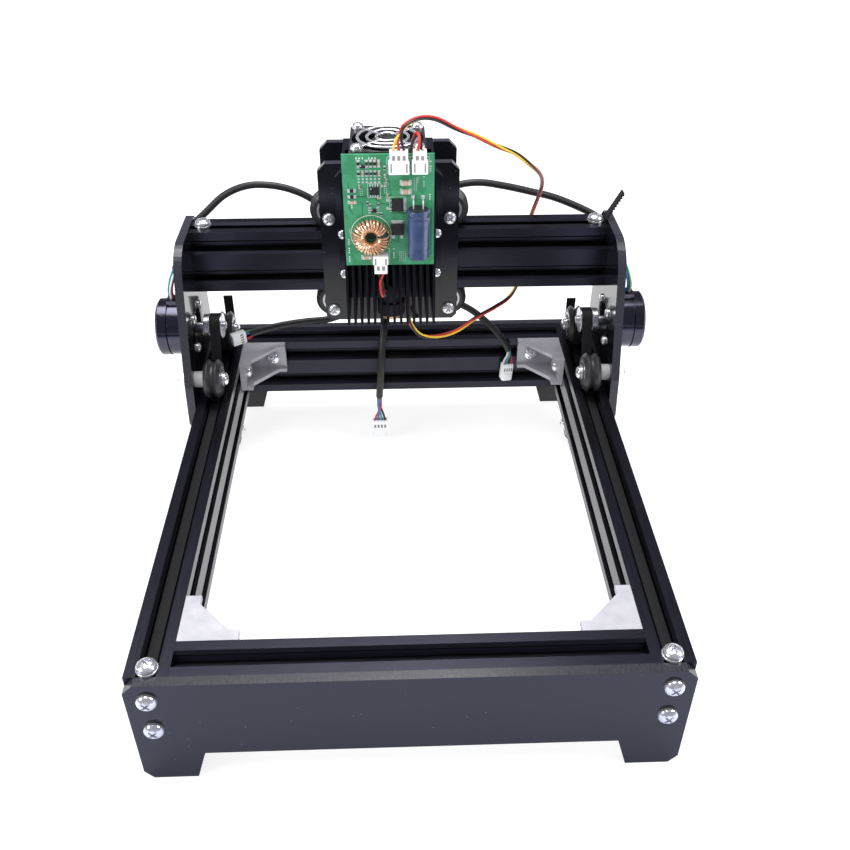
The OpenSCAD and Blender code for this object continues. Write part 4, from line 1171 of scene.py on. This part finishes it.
def header(piece, x, foot, up, w, ways, tall=HEADER_H):
    """Board header with its crimp housing plugged in: ribs, with its windows, side slots and wire
    cavities drawn as flat grey patches of painted shade.
    """
    def put(u0, u1, d0, d1, v0, v1, material=0, bevel=0.0):
        z0, z1 = sorted((foot + up * v0, foot + up * v1))
        piece.box(mm(x + u0, BOARD_FACE - d1, z0), mm(x + u1, BOARD_FACE - d0, z1), material,
                  mm(bevel))

    half = w / 2
    top = tall + HOUSING_H
    put(-half, half, 0, 6, 0, tall, 0, 0.25)
    put(-half + 0.6, half - 0.6, 0.8, 5.2, tall - 0.2, top, 0, 0.3)
    step = (w - 2.6) / ways
    for k in range(ways):
        u = (k - (ways - 1) / 2) * step
        # Flat grey patches for a window and a wire cavity: painted shade in place of holes.
        put(u - step * 0.3, u + step * 0.3, 5.1, 5.26, top - 4.6, top - 2.2, 1)
        put(u - step * 0.3, u + step * 0.3, 2.0, 4.4, top - 0.6, top + 0.04, 1)
        put(u - 0.32, u + 0.32, 0.0, 0.45, -1.6, 0.1, 2, 0.05)
        put(u - 0.75, u + 0.75, 0.0, 0.08, -2.2, -0.4, 2)
        if k < ways - 1:
            put(u + step / 2 - 0.12, u + step / 2 + 0.12, 5.95, 6.12, 0.6, tall - 0.6, 0, 0.04)
    # Flat grey strips for the side slots: painted shade in place of holes.
    for side in (-half + 0.9, half - 1.7):
        put(side, side + 0.8, 5.9, 6.15, 1.2, tall, 1)


def connectors():
    low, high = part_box("board_connectors")
    piece = Piece("board_connectors", PLUG, HOLE_SHADE, TIN)
    top_foot = high.z / MM - HEADER_H - HOUSING_H
    low_foot = low.z / MM + LOW_HEADER_H + HOUSING_H
    header(piece, -1, top_foot, 1, 10.5, 3)
    header(piece, 9.6, top_foot, 1, 8, 2)
    header(piece, -11.5, low_foot, -1, 8.2, 2, LOW_HEADER_H)
    piece.finish("carriage", ["board_connectors"], "plug_white")


# ---------- studio ----------

def stage_material(name, color, roughness, glow=0.0):
    look = Look(name, color, roughness, Emission_Strength=glow)
    look.set("Emission Color", (1, 1, 1, 1))
    tones(look, look.noise(60), tuple(0.98 * c for c in color), color)
    return look.material


def sheet_of(name, low, high, z, material):
    mesh = bpy.data.meshes.new(name)
    mesh.from_pydata([(low[0], low[1], z), (high[0], low[1], z), (high[0], high[1], z),
                      (low[0], high[1], z)], [], [(0, 1, 2, 3)])
    mesh.materials.append(material)
    sheet = bpy.data.objects.new(name, mesh)
    scene.collection.objects.link(sheet)
    return sheet


def studio():
    """White glowing floor, soft lights, and cards and a dimmer world that only reflections see."""
    sheet_of("floor", (-12, -12), (12, 12), 0, stage_material("floor", (0.36, 0.36, 0.365), 0.8, 0.75))
    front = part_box("front_plate")[0].y - mm(0.3)
    for name, far, near, color in (("dark_flag", -1.7, -0.34, (0.02, 0.02, 0.024)),
                                   ("front_card", -0.34, front, (0.46, 0.49, 0.66))):
        flag = sheet_of(name, (-1.1, far), (1.1, near), mm(0.2), stage_material(name, color, 0.9))
        flag.visible_camera = flag.visible_diffuse = flag.visible_shadow = False

    world = bpy.data.worlds.new("world")
    world.use_nodes = True
    scene.world = world
    tree = world.node_tree
    sky = tree.nodes["Background"]
    rays = tree.nodes.new("ShaderNodeLightPath")
    level = tree.nodes.new("ShaderNodeMix")
    level.data_type = "RGBA"
    level.inputs[6].default_value = (1.0, 1.0, 1.0, 1)
    level.inputs[7].default_value = (0.22, 0.22, 0.28, 1)
    tree.links.new(rays.outputs["Is Glossy Ray"], level.inputs[0])
    tree.links.new(level.outputs[2], sky.inputs["Color"])

    for name, place, aim, size, watts in (
        ("top_light", (-0.1, 0.25, 1.3), (0, 0, 0.05), 0.9, 16),
        ("left_light", (-1.1, -0.5, 0.8), (0, 0.05, 0.1), 0.6, 9),
        ("right_light", (1.1, -0.2, 0.9), (0, 0.05, 0.1), 0.6, 9),
    ):
        lamp = bpy.data.lights.new(name, "AREA")
        lamp.shape, lamp.size, lamp.energy = "SQUARE", size, watts
        light = bpy.data.objects.new(name, lamp)
        light.location = place
        toward = Vector(aim) - Vector(place)
        light.rotation_euler = toward.to_track_quat("-Z", "Y").to_euler()
        scene.collection.objects.link(light)
    scene.view_settings.view_transform = "Standard"


dress_frame()
belts()
pulleys()
fan_rotor()
board_parts()
board_print()
inductor()
capacitor()
connectors()
studio()
